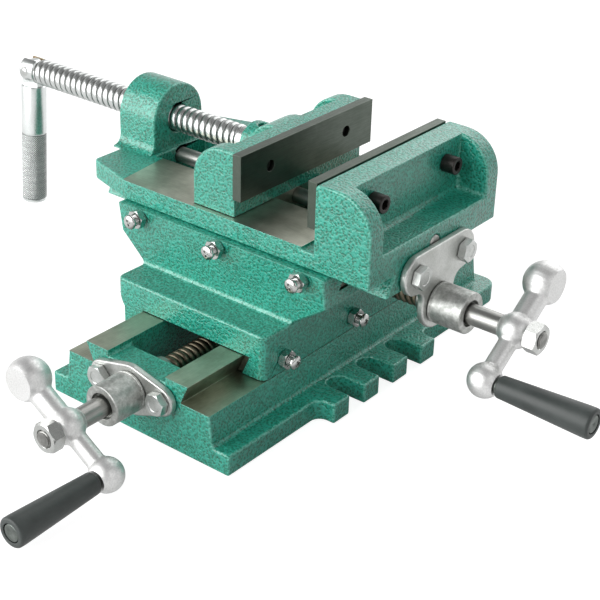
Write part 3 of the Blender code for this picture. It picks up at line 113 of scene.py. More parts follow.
def node(tree, kind, **values):
    """Add a node and set its plain properties or, by name, its input sockets."""
    made = tree.nodes.new(kind)
    for key, value in values.items():
        if hasattr(made, key):
            setattr(made, key, value)
        else:
            made.inputs[key.replace("_", " ")].default_value = value
    return made


def maths(tree, operation, *values):
    """A Math node whose inputs are sockets or numbers."""
    made = node(tree, "ShaderNodeMath", operation=operation)
    for socket, value in zip(made.inputs, values):
        if isinstance(value, bpy.types.NodeSocket):
            link(tree, value, socket)
        else:
            socket.default_value = value
    return made.outputs[0]


def spread(tree, value, low, high, to_low=0.0, to_high=1.0):
    """Ease a value from one range into another and hold it there."""
    made = node(tree, "ShaderNodeMapRange", interpolation_type="SMOOTHSTEP")
    for name, number in (("From Min", low), ("From Max", high), ("To Min", to_low), ("To Max", to_high)):
        made.inputs[name].default_value = number
    link(tree, value, made.inputs["Value"])
    return made.outputs["Result"]


def along(tree, where, direction):
    """How far a place or a direction reaches along another direction."""
    made = node(tree, "ShaderNodeVectorMath", operation="DOT_PRODUCT")
    link(tree, where, made.inputs[0])
    made.inputs[1].default_value = direction
    return made.outputs["Value"]


def table_material():
    made = bpy.data.materials.new("white_table")
    made.use_nodes = True
    tree = made.node_tree
    tree.nodes.clear()
    path = node(tree, "ShaderNodeLightPath")
    place = node(tree, "ShaderNodeTexCoord").outputs["Object"]
    mirrored = maths(tree, "MAXIMUM", path.outputs["Is Glossy Ray"], path.outputs["Is Transmission Ray"])
    away = node(tree, "ShaderNodeVectorMath", operation="LENGTH")
    link(tree, place, away.inputs[0])
    faded = maths(tree, "MULTIPLY", mirrored, spread(tree, away.outputs["Value"], 0.09, 0.19, 0.08, 0.72))
    seen = maths(tree, "MULTIPLY", path.outputs["Is Camera Ray"], 0.88)
    shade = node(tree, "ShaderNodeBsdfDiffuse", Color=(0.38, 0.38, 0.38, 1.0))
    glow = node(tree, "ShaderNodeEmission", Color=WHITE)
    total = node(tree, "ShaderNodeAddShader")
    out = node(tree, "ShaderNodeOutputMaterial")
    link(tree, maths(tree, "MAXIMUM", seen, faded), glow.inputs["Strength"])
    link(tree, shade.outputs[0], total.inputs[0])
    link(tree, glow.outputs[0], total.inputs[1])
    link(tree, total.outputs[0], out.inputs["Surface"])
    return made


def build_table():
    mesh = bpy.data.meshes.new("table")
    editable = bmesh.new()
    bmesh.ops.create_grid(editable, x_segments=1, y_segments=1, size=FLOOR_HALF)
    editable.to_mesh(mesh)
    editable.free()
    table = bpy.data.objects.new("table", mesh)
    table.location.z = -0.0004
    mesh.materials.append(table_material())
    bpy.context.scene.collection.objects.link(table)
    return table


def build_world():
    """White to the camera. Reflections see a white backdrop, a grey ceiling and a dim room behind the camera."""
    world = bpy.data.worlds.new("studio")
    world.use_nodes = True
    bpy.context.scene.world = world
    tree = world.node_tree
    tree.nodes.clear()
    path = node(tree, "ShaderNodeLightPath")
    where = node(tree, "ShaderNodeTexCoord").outputs["Generated"]
    height = spread(tree, along(tree, where, (0, 0, 1)), 0.05, 0.80, 1.0, 0.28)
    room = spread(tree, along(tree, where, ROOM_SIDE), 0.0, 0.75, 1.0, 0.42)
    seen = maths(tree, "MAXIMUM", path.outputs["Is Camera Ray"], path.outputs["Is Transmission Ray"])
    shine = maths(tree, "MULTIPLY", path.outputs["Is Glossy Ray"], maths(tree, "MULTIPLY", height, room))
    level = maths(tree, "MAXIMUM", maths(tree, "MAXIMUM", seen, shine), WORLD_LIGHT)
    sky = node(tree, "ShaderNodeBackground", Color=WHITE)
    out = node(tree, "ShaderNodeOutputWorld")
    link(tree, level, sky.inputs["Strength"])
    link(tree, sky.outputs[0], out.inputs["Surface"])


LAMPS = (("front_left", (-0.62, -1.38, 0.38), 2.1, 54.0),
         ("right", (1.25, -0.25, 0.85), 1.1, 3.8),
         ("behind", (-0.05, 1.15, 0.95), 1.5, 11.0))


def build_lamp(name, place, size, power):
    data = bpy.data.lights.new(name, "AREA")
    data.shape = "SQUARE"
    data.size = size
    data.energy = power
    lamp = bpy.data.objects.new(name, data)
    lamp.location = place
    lamp.rotation_euler = (-Vector(place)).to_track_quat("-Z", "Y").to_euler()
    bpy.context.scene.collection.objects.link(lamp)


build_table()
build_world()
for lamp_values in LAMPS:
    build_lamp(*lamp_values)
bpy.context.scene.view_settings.view_transform = "Standard"
print(f"{len(LAMPS)} lamps over a table {FLOOR_HALF * 2:.0f} m wide")

# %% [markdown]
# ## Hammered green enamel
# The castings are sprayed with a hammer finish: a metallic enamel that pulls itself into small dimples as it dries. Up
# close it is a net of pale ridges round darker pits about a millimetre across. An image would do, but it would stretch
# over the curved jaws, so the pattern is made of cells in space. One set of cells bumps the surface, and the same
# cells with a speckle of fine noise colour it, the pits darker and the ridges paler. That colour is partly the paint's
# own mottle and partly painted shade in the pits and painted sheen on the ridges. A clear coat on top gives the wide,
# soft shine.

# %% Mix the enamel
PIT_CELLS = 820.0
SPECKLE = 1400.0
WAVE = 120.0


def shader_of(name):
    """A material with its tree, its main shader and the object's own coordinates."""
    made = bpy.data.materials.new(name)
    made.use_nodes = True
    tree = made.node_tree
    shader = tree.nodes["Principled BSDF"]
    where = node(tree, "ShaderNodeTexCoord")
    return made, tree, shader, where.outputs["Object"]


def noise(tree, where, scale, detail=3.0, roughness=0.55):
    made = node(tree, "ShaderNodeTexNoise", Scale=scale, Detail=detail, Roughness=roughness)
    link(tree, where, made.inputs["Vector"])
    return made.outputs["Fac"]


def ramp(tree, value, stops):
    """Colours along a value: stops are pairs of a position and a colour."""
    made = node(tree, "ShaderNodeValToRGB")
    elements = made.color_ramp.elements
    while len(elements) < len(stops):
        elements.new(0.5)
    for element, (position, colour) in zip(elements, stops):
        element.position = position
        element.color = (*colour, 1.0)
    link(tree, value, made.inputs["Fac"])
    return made.outputs["Color"]


def blend(tree, factor, first, second, kind="MIX"):
    """Mix two colours, each a socket or a plain colour, by a socket or a number."""
    made = node(tree, "ShaderNodeMix", data_type="RGBA", blend_type=kind)
    for socket, value in ((made.inputs[0], factor), (made.inputs[6], first), (made.inputs[7], second)):
        if isinstance(value, bpy.types.NodeSocket):
            link(tree, value, socket)
        elif isinstance(value, tuple):
            socket.default_value = (*value, 1.0)
        else:
            socket.default_value = value
    return made.outputs[2]


def bump(tree, shader, height, distance, strength=1.0, under=None):
    made = node(tree, "ShaderNodeBump", Distance=distance, Strength=strength)
    link(tree, height, made.inputs["Height"])
    if under is not None:
        link(tree, under, made.inputs["Normal"])
    link(tree, made.outputs["Normal"], shader.inputs["Normal"])
    return made.outputs["Normal"]


def cells(tree, where, scale, smooth=0.6):
    made = node(tree, "ShaderNodeTexVoronoi", feature="SMOOTH_F1", Scale=scale, Smoothness=smooth)
    link(tree, where, made.inputs["Vector"])
    return made.outputs["Distance"]


def enamel_surface(tree, shader, where, pale):
    """Wire the hammer finish into a shader: pits, ridges and a slow wave of thick and thin paint."""
    pits = cells(tree, where, PIT_CELLS)
    speckle = noise(tree, where, SPECKLE, 2.0)
    wave = noise(tree, where, WAVE, 4.0)
    mixed = maths(tree, "ADD", maths(tree, "MULTIPLY", pits, 0.55), maths(tree, "MULTIPLY", speckle, 0.45))
    low, middle, high = pale
    # pits darker, ridges paler: partly the paint's own mottle, partly painted shade in the pits and painted sheen on
    # the ridges
    base = ramp(tree, mixed, ((0.27, low), (0.41, middle), (0.56, high)))
    patchy = spread(tree, wave, 0.35, 0.65, 0.88, 1.0)
    link(tree, blend(tree, 1.0, base, patchy, "MULTIPLY"), shader.inputs["Base Color"])
    link(tree, spread(tree, wave, 0.3, 0.7, 0.30, 0.42), shader.inputs["Roughness"])
    fine = bump(tree, shader, speckle, 0.00030, 0.8)
    bump(tree, shader, pits, 0.00050, 0.9, fine)


def enamel(name, pale):
    made, tree, shader, where = shader_of(name)
    enamel_surface(tree, shader, where, pale)
    shader.inputs["Specular IOR Level"].default_value = 0.75
    shader.inputs["Coat Weight"].default_value = 0.6
    shader.inputs["Coat Roughness"].default_value = 0.24
    return made


ENAMEL = enamel("hammered_enamel", ((0.000, 0.110, 0.064), (0.000, 0.245, 0.155), (0.030, 0.420, 0.310)))
# paler enamel for the rounded edges: partly worn paint, partly a painted highlight
ENAMEL_WEAR_AND_HIGHLIGHT = enamel("worn_enamel", ((0.000, 0.190, 0.118), (0.020, 0.340, 0.230), (0.100, 0.500, 0.385)))
print(f"enamel pits about {1000 / PIT_CELLS:.1f} mm across")

# %% [markdown]
# ## Bare metals
# Each metal part was finished another way. The ways and the dovetails are milled and left
# bare, so they are a brownish grey with faint cutter marks. The jaw plates are hardened
# and ground, dark with fine straight scratches. Bolts and screws are zinc plated and
# bright, and the brackets and cranks are tumbled aluminium, a soft pale grey. One helper
# makes them all, with a direction for the tool marks and a scale for the cloudiness.

# %% Mix the metals, the black finishes and the grip's plastic
STREAK = 2600.0


def streaked(tree, where, stretch, scale=STREAK):
    """Noise pulled out along one direction, like the marks of a cutter or a wheel."""
    pull = node(tree, "ShaderNodeMapping")
    pull.inputs["Scale"].default_value = stretch
    link(tree, where, pull.inputs["Vector"])
    return noise(tree, pull.outputs["Vector"], scale, 2.0, 0.6)


def metal(name, dark, light, roughness, stretch=(1, 1, 1), cloud=90.0, marks=0.00002, metallic=1.0,
          grain=STREAK):
    """A bare metal: cloudy between two colours, with tool marks that also roughen it."""
    made, tree, shader, where = shader_of(name)
    clouds = noise(tree, where, cloud, 4.0, 0.6)
    lines = streaked(tree, where, stretch, grain)
    colour = ramp(tree, clouds, ((0.32, dark), (0.68, light)))
    shade = spread(tree, lines, 0.30, 0.70, 0.86, 1.0)
    link(tree, blend(tree, 1.0, colour, shade, "MULTIPLY"), shader.inputs["Base Color"])
    link(tree, spread(tree, lines, 0.25, 0.75, roughness * 1.2, roughness * 0.85), shader.inputs["Roughness"])
    bump(tree, shader, lines, marks, 0.6)
    shader.inputs["Metallic"].default_value = metallic
    return made


MACHINED = metal("milled_iron", (0.28, 0.30, 0.23), (0.58, 0.61, 0.50), 0.36, (1.0, 0.05, 1.0), 45.0)
MACHINED_LONG = metal("milled_iron_long", (0.33, 0.34, 0.275), (0.66, 0.675, 0.575), 0.36, (0.05, 1.0, 1.0), 45.0)
# dark hardened steel; its faint green tint is a painted reflection of the green enamel round it
GROUND_WITH_GREEN_REFLECTION = metal("ground_steel", (0.075, 0.096, 0.076), (0.130, 0.152, 0.130), 0.36, (1.0, 0.05, 1.0), 30.0)
TURNED = metal("turned_steel", (0.34, 0.34, 0.325), (0.46, 0.46, 0.44), 0.33, (0.02, 0.02, 1.0), 60.0, 0.000006)
ALUMINIUM = metal("tumbled_aluminium", (0.74, 0.74, 0.73), (0.80, 0.80, 0.795), 0.46, (0.5, 0.5, 0.5), 70.0,
                  0.000012)
OILY = metal("oiled_thread", (0.055, 0.046, 0.030), (0.21, 0.185, 0.135), 0.38, (1, 1, 1), 160.0, 0.00001)
GIB = metal("gib_strip", (0.14, 0.15, 0.12), (0.24, 0.25, 0.21), 0.45, (1, 1, 1), 80.0)
THREAD_ZINC = metal("rolled_thread", (0.54, 0.56, 0.55), (0.70, 0.72, 0.71), 0.27, (1, 1, 1), 120.0, 0.000004)
# dark material for thread roots: painted shade in the grooves
THREAD_ROOT_SHADE = metal("thread_root", (0.13, 0.135, 0.125), (0.24, 0.245, 0.23), 0.38, (1, 1, 1), 160.0, 0.000004)
# dark brown for the fork slot's inner walls: painted shade inside the slot
FORK_SLOT_SHADE = metal("fork_slot", (0.20, 0.15, 0.09), (0.34, 0.27, 0.18), 0.42, (1, 1, 1), 200.0, 0.000008)
KNURLED_ZINC = metal("knurled_zinc", (0.72, 0.75, 0.74), (0.85, 0.88, 0.87), 0.28, (1, 1, 1), 90.0, 0.000004)
# dark material for the knurl's grooves: painted shade between the diamonds
KNURL_GROOVE_SHADE = metal("knurl_groove", (0.18, 0.19, 0.185), (0.28, 0.29, 0.285), 0.40, (1, 1, 1), 160.0, 0.000004)
CHROME = metal("bright_zinc", (0.50, 0.51, 0.495), (0.62, 0.63, 0.615), 0.17, (1, 1, 1), 150.0, 0.000002)
ZINC_DULL = metal("dull_zinc", (0.54, 0.56, 0.54), (0.72, 0.735, 0.72), 0.36, (1, 1, 1), 220.0, 0.00001)
ROD_STEEL = metal("rod_steel", (0.40, 0.40, 0.375), (0.52, 0.52, 0.50), 0.42, (0.05, 1.0, 1.0), 60.0, 0.00001)
STUD_STEEL = metal("stud_steel", (0.20, 0.20, 0.19), (0.36, 0.36, 0.345), 0.36, (1, 1, 1), 260.0, 0.000008)
# a dull cast metal, set darker in part as painted shade, the shade that the crank casts on the lower sleeve
CAST_ALUMINIUM_WITH_SHADE = metal("cast_aluminium", (0.36, 0.37, 0.35), (0.64, 0.65, 0.63), 0.44, (0.7, 0.7, 0.7), 380.0,
                       0.00005, grain=1500.0)
PLATE_ALUMINIUM = metal("plate_aluminium", (0.52, 0.535, 0.51), (0.66, 0.67, 0.65), 0.40, (0.4, 1.0, 0.4), 90.0,
                        0.000015)
SPINDLE_STEEL = metal("dark_spindle", (0.10, 0.115, 0.105), (0.20, 0.22, 0.205), 0.40, (1, 1, 1), 200.0, 0.00001)
BRONZE = metal("bronze", (0.40, 0.25, 0.10), (0.56, 0.38, 0.17), 0.35, (1, 1, 1), 90.0)
BLACK_OXIDE = metal("black_oxide", (0.022, 0.020, 0.019), (0.050, 0.046, 0.042), 0.38, (1, 1, 1), 200.0,
                    0.00001, 0.7)


def grip_plastic():
    made, tree, shader, where = shader_of("grip_plastic")
    fine = noise(tree, where, 1800.0, 3.0)
    clouds = noise(tree, where, 90.0, 3.0)
    colour = ramp(tree, clouds, ((0.3, (0.034, 0.041, 0.039)), (0.7, (0.058, 0.068, 0.065))))
    link(tree, colour, shader.inputs["Base Color"])
    link(tree, spread(tree, clouds, 0.3, 0.7, 0.42, 0.52), shader.inputs["Roughness"])
    bump(tree, shader, fine, 0.00006, 0.5)
    return made


GRIP = grip_plastic()
print(f"{len(bpy.data.materials)} materials mixed")

# %% [markdown]
# ## Tools of the trade
# Four helpers do most of the shaping. A lathe turns a profile round an axis. A fillet
# rounds the corners of that profile first, because no turned part has a true sharp corner.
# A cutter joins, cuts or keeps the overlap of two shapes. And a finisher turns whatever
# modifiers are left into plain mesh, shades it and hands the piece to its body.

# %% Helpers for turning, cutting and finishing
SMOOTH_ANGLE = math.radians(38)
IN_MM = 1000.0


def frame_at(place, direction):
    """A frame whose Z runs along a direction from a place."""
    turn = Vector(direction).to_track_quat("Z", "Y").to_matrix().to_4x4()
    return Matrix.Translation(Vector(place)) @ turn


def fillet(points, radii, steps=5):
    """Round the inner corners of an open outline, each by its own radius."""
    rounded = [Vector(points[0])]
    for index in range(1, len(points) - 1):
        corner = Vector(points[index])
        radius = radii.get(index, 0.0)
        if radius <= 0:
            rounded.append(corner)
            continue
        before = (Vector(points[index - 1]) - corner).normalized()
        after = (Vector(points[index + 1]) - corner).normalized()
        half = before.angle(after) / 2
        reach = radius / math.tan(half)
        middle = corner + (before + after).normalized() * (radius / math.sin(half))
        first, last = corner + before * reach - middle, corner + after * reach - middle
        turn = first.angle_signed(last)
        for step in range(steps + 1):
            angle = -turn * step / steps
            rounded.append(middle + Matrix.Rotation(angle, 2) @ first)
    rounded.append(Vector(points[-1]))
    return [tuple(point) for point in rounded]


def lathe(profile, frame_matrix, segments=64):
    """Turn (radius, height) points round a frame's Z, closed at the ends and facing out."""
    editable = bmesh.new()
    rings = []
    closed = min(point[0] for point in profile) > 1e-7
    for radius, height in profile:
        if radius < 1e-7:
            rings.append([editable.verts.new((0, 0, height))] * segments)
            continue
        turns = [2 * math.pi * step / segments for step in range(segments)]
        rings.append([editable.verts.new((radius * math.cos(t), radius * math.sin(t), height)) for t in turns])
    pairs = list(zip(rings, rings[1:] + rings[:1] if closed else rings[1:]))
    for upper, lower in pairs:
        for step in range(segments):
            after = (step + 1) % segments
            corners = []
            for vertex in (upper[step], lower[step], lower[after], upper[after]):
                if vertex not in corners:
                    corners.append(vertex)
            if len(corners) > 2:
                editable.faces.new(corners)
    bmesh.ops.recalc_face_normals(editable, faces=editable.faces)
    editable.transform(frame_matrix)
    return editable


def as_object(editable, name):
    """Turn an editing mesh into an object in the scene."""
    mesh = bpy.data.meshes.new(name)
    editable.to_mesh(mesh)
    editable.free()
    made = bpy.data.objects.new(name, mesh)
    bpy.context.scene.collection.objects.link(made)
    return made


def plain(thing):
    """Replace an object's mesh with what its modifiers make of it."""
    bpy.context.view_layer.update()
    graph = bpy.context.evaluated_depsgraph_get()
    mesh = bpy.data.meshes.new_from_object(thing.evaluated_get(graph))
    thing.modifiers.clear()
    thing.data = mesh
    return thing


def combine(target, tool, operation):
    """Join, cut or intersect two shapes, and throw the tool away."""
    change = target.modifiers.new(operation.lower(), "BOOLEAN")
    change.operation = operation
    change.solver = "EXACT"
    change.object = tool
    plain(target)
    bpy.data.objects.remove(tool, do_unlink=True)
    return target


def prism(sides, corner, low, high, frame_matrix, start=0.0):
    """A straight prism with a regular outline, such as a hexagon or a fine cylinder."""
    editable = bmesh.new()
    turns = [start + 2 * math.pi * side / sides for side in range(sides)]
    loops = [[editable.verts.new((corner * math.cos(t), corner * math.sin(t), z)) for t in turns]
             for z in (low, high)]
    editable.faces.new(loops[0][::-1])
    editable.faces.new(loops[1])
    for side in range(sides):
        after = (side + 1) % sides
        editable.faces.new((loops[0][side], loops[0][after], loops[1][after], loops[1][side]))
    editable.transform(frame_matrix)
    return editable


def join(name, *things):
    """Put several finished objects into one, each with its own material if it has one."""
    editable = bmesh.new()
    materials = []
    for thing in things:
        known = len(editable.faces)
        editable.from_mesh(thing.data)
        editable.faces.ensure_lookup_table()
        for face in editable.faces[known:]:
            face.material_index += len(materials)
        materials += list(thing.data.materials)
        bpy.data.objects.remove(thing, do_unlink=True)
    made = as_object(editable, name)
    for material in materials:
        made.data.materials.append(material)
    return made


def paint_faces(thing, materials, pick):
    """Give a shape several materials: pick(face) says which of them a face takes."""
    thing.data.materials.clear()
    for material in materials:
        thing.data.materials.append(material)
    for face in thing.data.polygons:
        face.material_index = pick(face)
    return thing


def from_axis(face, place, direction):
    """How far a face's middle lies from an axis."""
    offset = face.center - place
    return (offset - direction * offset.dot(direction)).length


def finish(thing, material, body, nodes, angle=SMOOTH_ANGLE):
    """Shade a piece, give it its material, and hand it to its body."""
    plain(thing)
    if material is not None:
        thing.data.materials.clear()
        thing.data.materials.append(material)
    thing.data.shade_smooth()
    thing.data.set_sharp_from_angle(angle=angle)
    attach(thing, body)
    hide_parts(*nodes)
    faces = len(thing.data.polygons)
    print(f"{thing.name}: {faces} faces on {body}")
    return thing


print("helpers ready")

# %% [markdown]
# ## Castings: break the edges
# A sand casting has no sharp edges, and paint pulls away from them and shines there. The
# solids are exact but sharp. Their edges could be rounded by rebuilding each casting, but
# a copy of the solid with bevelled edges keeps every size. Cast edges get a wide bevel,
# inner corners a wider one, like the fillet of the mould, and milled edges only a touch.
# Where several edges crowd together a wide bevel folds over itself and throws a spike, so
# each casting is bevelled, looked at for points off the solid, and narrowed there again.
# Faces that a cutter has crossed are bare metal, so they take the second material. The rounded edges take the third, a
# paler enamel that is partly paint worn thin at the edges and partly a painted highlight along every round, inner
# corners included.

# %% Round the castings' edges and tell paint from bare metal
WIDEST = 0.0030
CAST_EDGE = 0.0011
CAST_CORNER = 0.0021
MILLED_EDGE = 0.00025
SHARP = math.radians(28)
TOUCH = 0.0003
PAINT, BARE, EDGE_WEAR_AND_HIGHLIGHT = 0, 1, 2
STRAY_OUT, STRAY_IN = 0.00092, 0.00052
STRAY_REACH = 0.0032
FAR_AWAY = 1.0
NARROW_FACE = 0.0008
NARROWER = (0.5, 0.4, 0.0, 0.0, 0.0, 0.0)
SLIVER = 0.0002


def merged_copy(node_name):
    """A copy of a solid whose loose triangles are merged and flat faces whole again."""
    editable = bmesh.new()
    editable.from_mesh(frame["nodes"][node_name].data)
    bmesh.ops.remove_doubles(editable, verts=editable.verts, dist=1e-6)
    bmesh.ops.dissolve_limit(editable, angle_limit=math.radians(0.6), verts=editable.verts,
                             edges=editable.edges)
    bmesh.ops.remove_doubles(editable, verts=editable.verts, dist=SLIVER)
    return editable


def off_line(point, start, end, beyond=True):
    """How far a point lies from a stretch of a line, or far away if it lies beyond the stretch's ends."""
    run = end - start
    share = (point - start).dot(run) / max(run.length_squared, 1e-12)
    if not beyond and not 0.0 < share < 1.0:
        return FAR_AWAY
    return (start + run * min(max(share, 0.0), 1.0) - point).length


def gap_between(edge, other):
    """The narrowest place between two edges that lie side by side."""
    ends = [[vertex.co for vertex in one.verts] for one in (edge, other)]
    ways = []
    for one, two in (ends, ends[::-1]):
        ways += [off_line(two[0].lerp(two[1], step / 8), *one, False) for step in range(9)]
    return min(ways)


def room_across(edge, marked):
    """How wide a bevel may be when a very narrow face lies beside its edge."""
    limit = WIDEST
    for face in edge.link_faces:
        for other in face.edges:
            gap = FAR_AWAY if set(other.verts) & set(edge.verts) else gap_between(edge, other)
            if gap < NARROW_FACE:
                limit = min(limit, (0.45 if other in marked else 0.9) * gap)
    return limit


def room_beside(edge, marked):
    """How wide a bevel may be before it meets the next one: edges at its ends set the limit."""
    direction = (edge.verts[1].co - edge.verts[0].co).normalized()
    limit = WIDEST
    for vertex in edge.verts:
        for other in vertex.link_edges:
            if other is edge or not set(other.link_faces) & set(edge.link_faces):
                continue
            end = other.other_vert(vertex)
            lean = (end.co - vertex.co).normalized().cross(direction).length
            if lean < 0.4:
                continue
            share = 0.45 if any(near in marked for near in end.link_edges if near is not other) else 0.9
            limit = min(limit, share * other.calc_length() * lean)
    return limit


def relabel_wear_and_highlight(piece):
    """Rounded edges took the pale enamel, worn paint with a painted highlight. Beside bare metal they go back to bare
    metal.
    """
    if len(piece.data.materials) <= EDGE_WEAR_AND_HIGHLIGHT:
        return
    editable = bmesh.new()
    editable.from_mesh(piece.data)
    sides = {}
    for face in editable.faces:
        if face.material_index == EDGE_WEAR_AND_HIGHLIGHT:
            longest = sorted(face.edges, key=lambda edge: -edge.calc_length())[:2]
            sides[face] = [near for edge in longest for near in edge.link_faces if near is not face]
    beside_bare = {face for face, near in sides.items() if any(n.material_index == BARE for n in near)}
    for face, near in sides.items():
        if face in beside_bare or near and all(n in beside_bare for n in near):
            face.material_index = BARE
    editable.to_mesh(piece.data)
    editable.free()


def add_bevel(piece):
    bevel = piece.modifiers.new("break_edges", "BEVEL")
    bevel.limit_method = "WEIGHT"
    bevel.width = WIDEST
    bevel.segments = 3
    bevel.use_clamp_overlap = False
    # the bevel's rounds take the pale enamel of wear and painted highlight
    bevel.material = EDGE_WEAR_AND_HIGHLIGHT if len(piece.data.materials) > EDGE_WEAR_AND_HIGHLIGHT else -1


def stray_points(piece, solid):
    """Points of the bevelled piece that lie farther off the solid than any round corner would."""
    bpy.context.view_layer.update()
    rounded = piece.evaluated_get(bpy.context.evaluated_depsgraph_get()).to_mesh()
    strays = []
    for vertex in rounded.vertices:
        near, normal, _, _ = solid.find_nearest(vertex.co)
        off = (vertex.co - near).length
        outside = (vertex.co - near).dot(normal) > 0
        if off > (STRAY_OUT if outside else STRAY_IN):
            strays.append(vertex.co.copy())
    return strays


def narrow_strays(piece, solid):
    """Narrow the bevels beside every stray point until none is left."""
    found = []
    for share in NARROWER:
        strays = stray_points(piece, solid)
        found.append(len(strays))
        if not strays:
            break
        weights = piece.data.attributes["bevel_weight_edge"].data
        for edge in piece.data.edges:
            start, end = (piece.data.vertices[index].co for index in edge.vertices)
            if weights[edge.index].value and any(off_line(point, start, end) < STRAY_REACH for point in strays):
                weights[edge.index].value *= share
    return found


def soften(piece):
    """Bevel a piece's weighted edges, then let its flat faces keep their flat shading."""
    solid = bmesh.new()
    solid.from_mesh(piece.data)
    solid_tree = BVHTree.FromBMesh(solid)
    solid.free()
    add_bevel(piece)
    print(f"{piece.name}: stray points by round {narrow_strays(piece, solid_tree)}")
    plain(piece)
    relabel_wear_and_highlight(piece)
    piece.data.shade_smooth()
    piece.data.set_sharp_from_angle(angle=SMOOTH_ANGLE)
    weigh = piece.modifiers.new("flat_faces_flat", "WEIGHTED_NORMAL")
    weigh.keep_sharp = True
    return plain(piece)


def softened(name, node_name, body, materials, width, bare=None, change=None, narrow_faces=False):
    """A softened copy of a solid: width(edge) says how wide, bare(face) which material."""
    editable = merged_copy(node_name)
    if change is not None:
        change(editable)
    layer = editable.edges.layers.float.new("bevel_weight_edge")
    editable.normal_update()
    if bare is not None:
        for face in editable.faces:
            face.material_index = BARE if bare(face) else PAINT
    marked = {edge for edge in editable.edges if len(edge.link_faces) == 2 and edge.calc_face_angle(0) > SHARP}
    for edge in marked:
        room = min(room_beside(edge, marked), room_across(edge, marked) if narrow_faces else WIDEST)
        edge[layer] = min(width(edge), room) / WIDEST
    piece = as_object(editable, name)
    for material in materials:
        piece.data.materials.append(material)
    soften(piece)
    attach(piece, body)
    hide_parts(node_name)
    count = sum(1 for face in piece.data.polygons if face.material_index == BARE)
    print(f"{name}: {len(piece.data.polygons)} faces, {count} of them bare")
    return piece


PLATE_SEATS = (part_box("fixed_jaw_plate")[1].x + TOUCH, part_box("moving_jaw_plate")[0].x - TOUCH)


def cast_width(edge):
    """Cast edges are wide, inner corners wider, and an edge that a cutter left is crisp."""
    if any(face.material_index == BARE for face in edge.link_faces):
        return MILLED_EDGE
    if any(all(abs(vertex.co.x - seat) < TOUCH / 2 for vertex in edge.verts) for seat in PLATE_SEATS):
        return MILLED_EDGE
    return CAST_EDGE if edge.is_convex else CAST_CORNER


way_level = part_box("lower_gib")[0].z - 2 * TOUCH
rail_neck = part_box("lower_gib")[0].x - TOUCH
saddle_low, saddle_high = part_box("saddle_casting")
body_low, body_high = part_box("vise_body")
jaw_low, jaw_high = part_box("moving_jaw")
tenon_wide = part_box("upper_gib")[0].y


def base_bare(face):
    """The tops and flanks of the rails and the flats beside them are milled."""
    centre, normal = face.calc_center_median(), face.normal
    if centre.z < way_level - TOUCH or abs(normal.y) > 0.5:
        return False
    return normal.z > 0.9 and abs(centre.x) > CHANNEL_HALF or abs(centre.x) > rail_neck - TOUCH


def saddle_bare(face):
    """Only the sliding faces of the two dovetails are bare."""
    centre, normal = face.calc_center_median(), face.normal
    upper = centre.z > saddle_high.z - TENON_DEPTH - 2 * TOUCH and tenon_wide < centre.y < -tenon_wide
    lower = centre.z < saddle_low.z + RAIL_RISE + TOUCH and abs(centre.x) < RAIL_WIDE
    return (upper and abs(normal.x) < 0.5) or (lower and abs(normal.y) < 0.5) or normal.z < -0.99


CHANNEL_HALF = 0.0178
RAIL_RISE = 0.0100
RAIL_WIDE = 0.0360
TENON_DEPTH = 0.0097
base_piece = softened("base", "base_casting", "base", (ENAMEL, MACHINED, ENAMEL_WEAR_AND_HIGHLIGHT),
                      cast_width, base_bare)
saddle_piece = softened("saddle_block", "saddle_casting", "saddle", (ENAMEL, MACHINED_LONG, ENAMEL_WEAR_AND_HIGHLIGHT),
                        cast_width, saddle_bare)

# %% [markdown]
# ## The bed's ways
# The vise bed was painted whole and then milled, so a cutter's edge divides paint from
# metal: at the left it stopped on a slanting line in front of the screw lug, and at the
# right it ran out into a groove. The line could be drawn by a mask in the material, but a
# real cut in the mesh stays crisp at any distance, so two planes slice the top face and
# the pieces between them turn to metal.

# %% Slice the top of the bed where the milling stops
WAY_FRONT_START = Vector((-0.0622, -0.0490, 0))
WAY_INNER_START = Vector((-0.0651, -0.0214, 0))
LUG_FRONT = -0.0720
GROOVE_EDGE = 0.0490
FLANGE_THICKNESS = 0.0098
flange_top = body_low.z + TENON_DEPTH + FLANGE_THICKNESS
fixed_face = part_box("fixed_jaw_plate")[1].x + TOUCH


def way_line(y):
    """Where the milling stops at the left, at a distance across the bed."""
    slope = (WAY_INNER_START.x - WAY_FRONT_START.x) / (WAY_INNER_START.y - WAY_FRONT_START.y)
    return WAY_FRONT_START.x + (abs(y) + WAY_FRONT_START.y) * -slope


def slice_ways(editable):
    for station in TENON_PAINTED:
        below = [face for face in editable.faces
                 if face.calc_center_median().z < body_low.z + TENON_DEPTH + TOUCH]
        parts = {item for face in below for item in (face, *face.edges, *face.verts)}
        bmesh.ops.bisect_plane(editable, geom=list(parts), plane_co=(station, 0, 0), plane_no=(1, 0, 0))
    for side in (1, -1):
        line = Vector((way_line(0.01) - way_line(0.0), side * 0.01, 0))
        across = line.cross(Vector((0, 0, 1)))
        top = [face for face in editable.faces if face.normal.z > 0.99
               and abs(face.calc_center_median().z - flange_top) < TOUCH]
        parts = {item for face in top for item in (face, *face.edges, *face.verts)}
        bmesh.ops.bisect_plane(editable, geom=list(parts), plane_co=(way_line(0), 0, flange_top),
                               plane_no=across)
    for face in [face for face in editable.faces if face.normal.z > 0.99 and len(face.verts) > 4]:
        if abs(face.calc_center_median().z - flange_top) < TOUCH:
            bmesh.ops.triangulate(editable, faces=[face])


def bed_bare(face):
    centre, normal = face.calc_center_median(), face.normal
    if normal.z > 0.9 and abs(centre.z - flange_top) < TOUCH:
        return way_line(centre.y) < centre.x < GROOVE_EDGE + TOUCH
    under = centre.z < body_low.z + TENON_DEPTH + TOUCH and abs(normal.x) < 0.5
    inside = TENON_PAINTED[0] < centre.x < TENON_PAINTED[1]
    return under and inside and normal.z < 0.6 and abs(centre.y) > WAY_SLOT_HALF + TOUCH


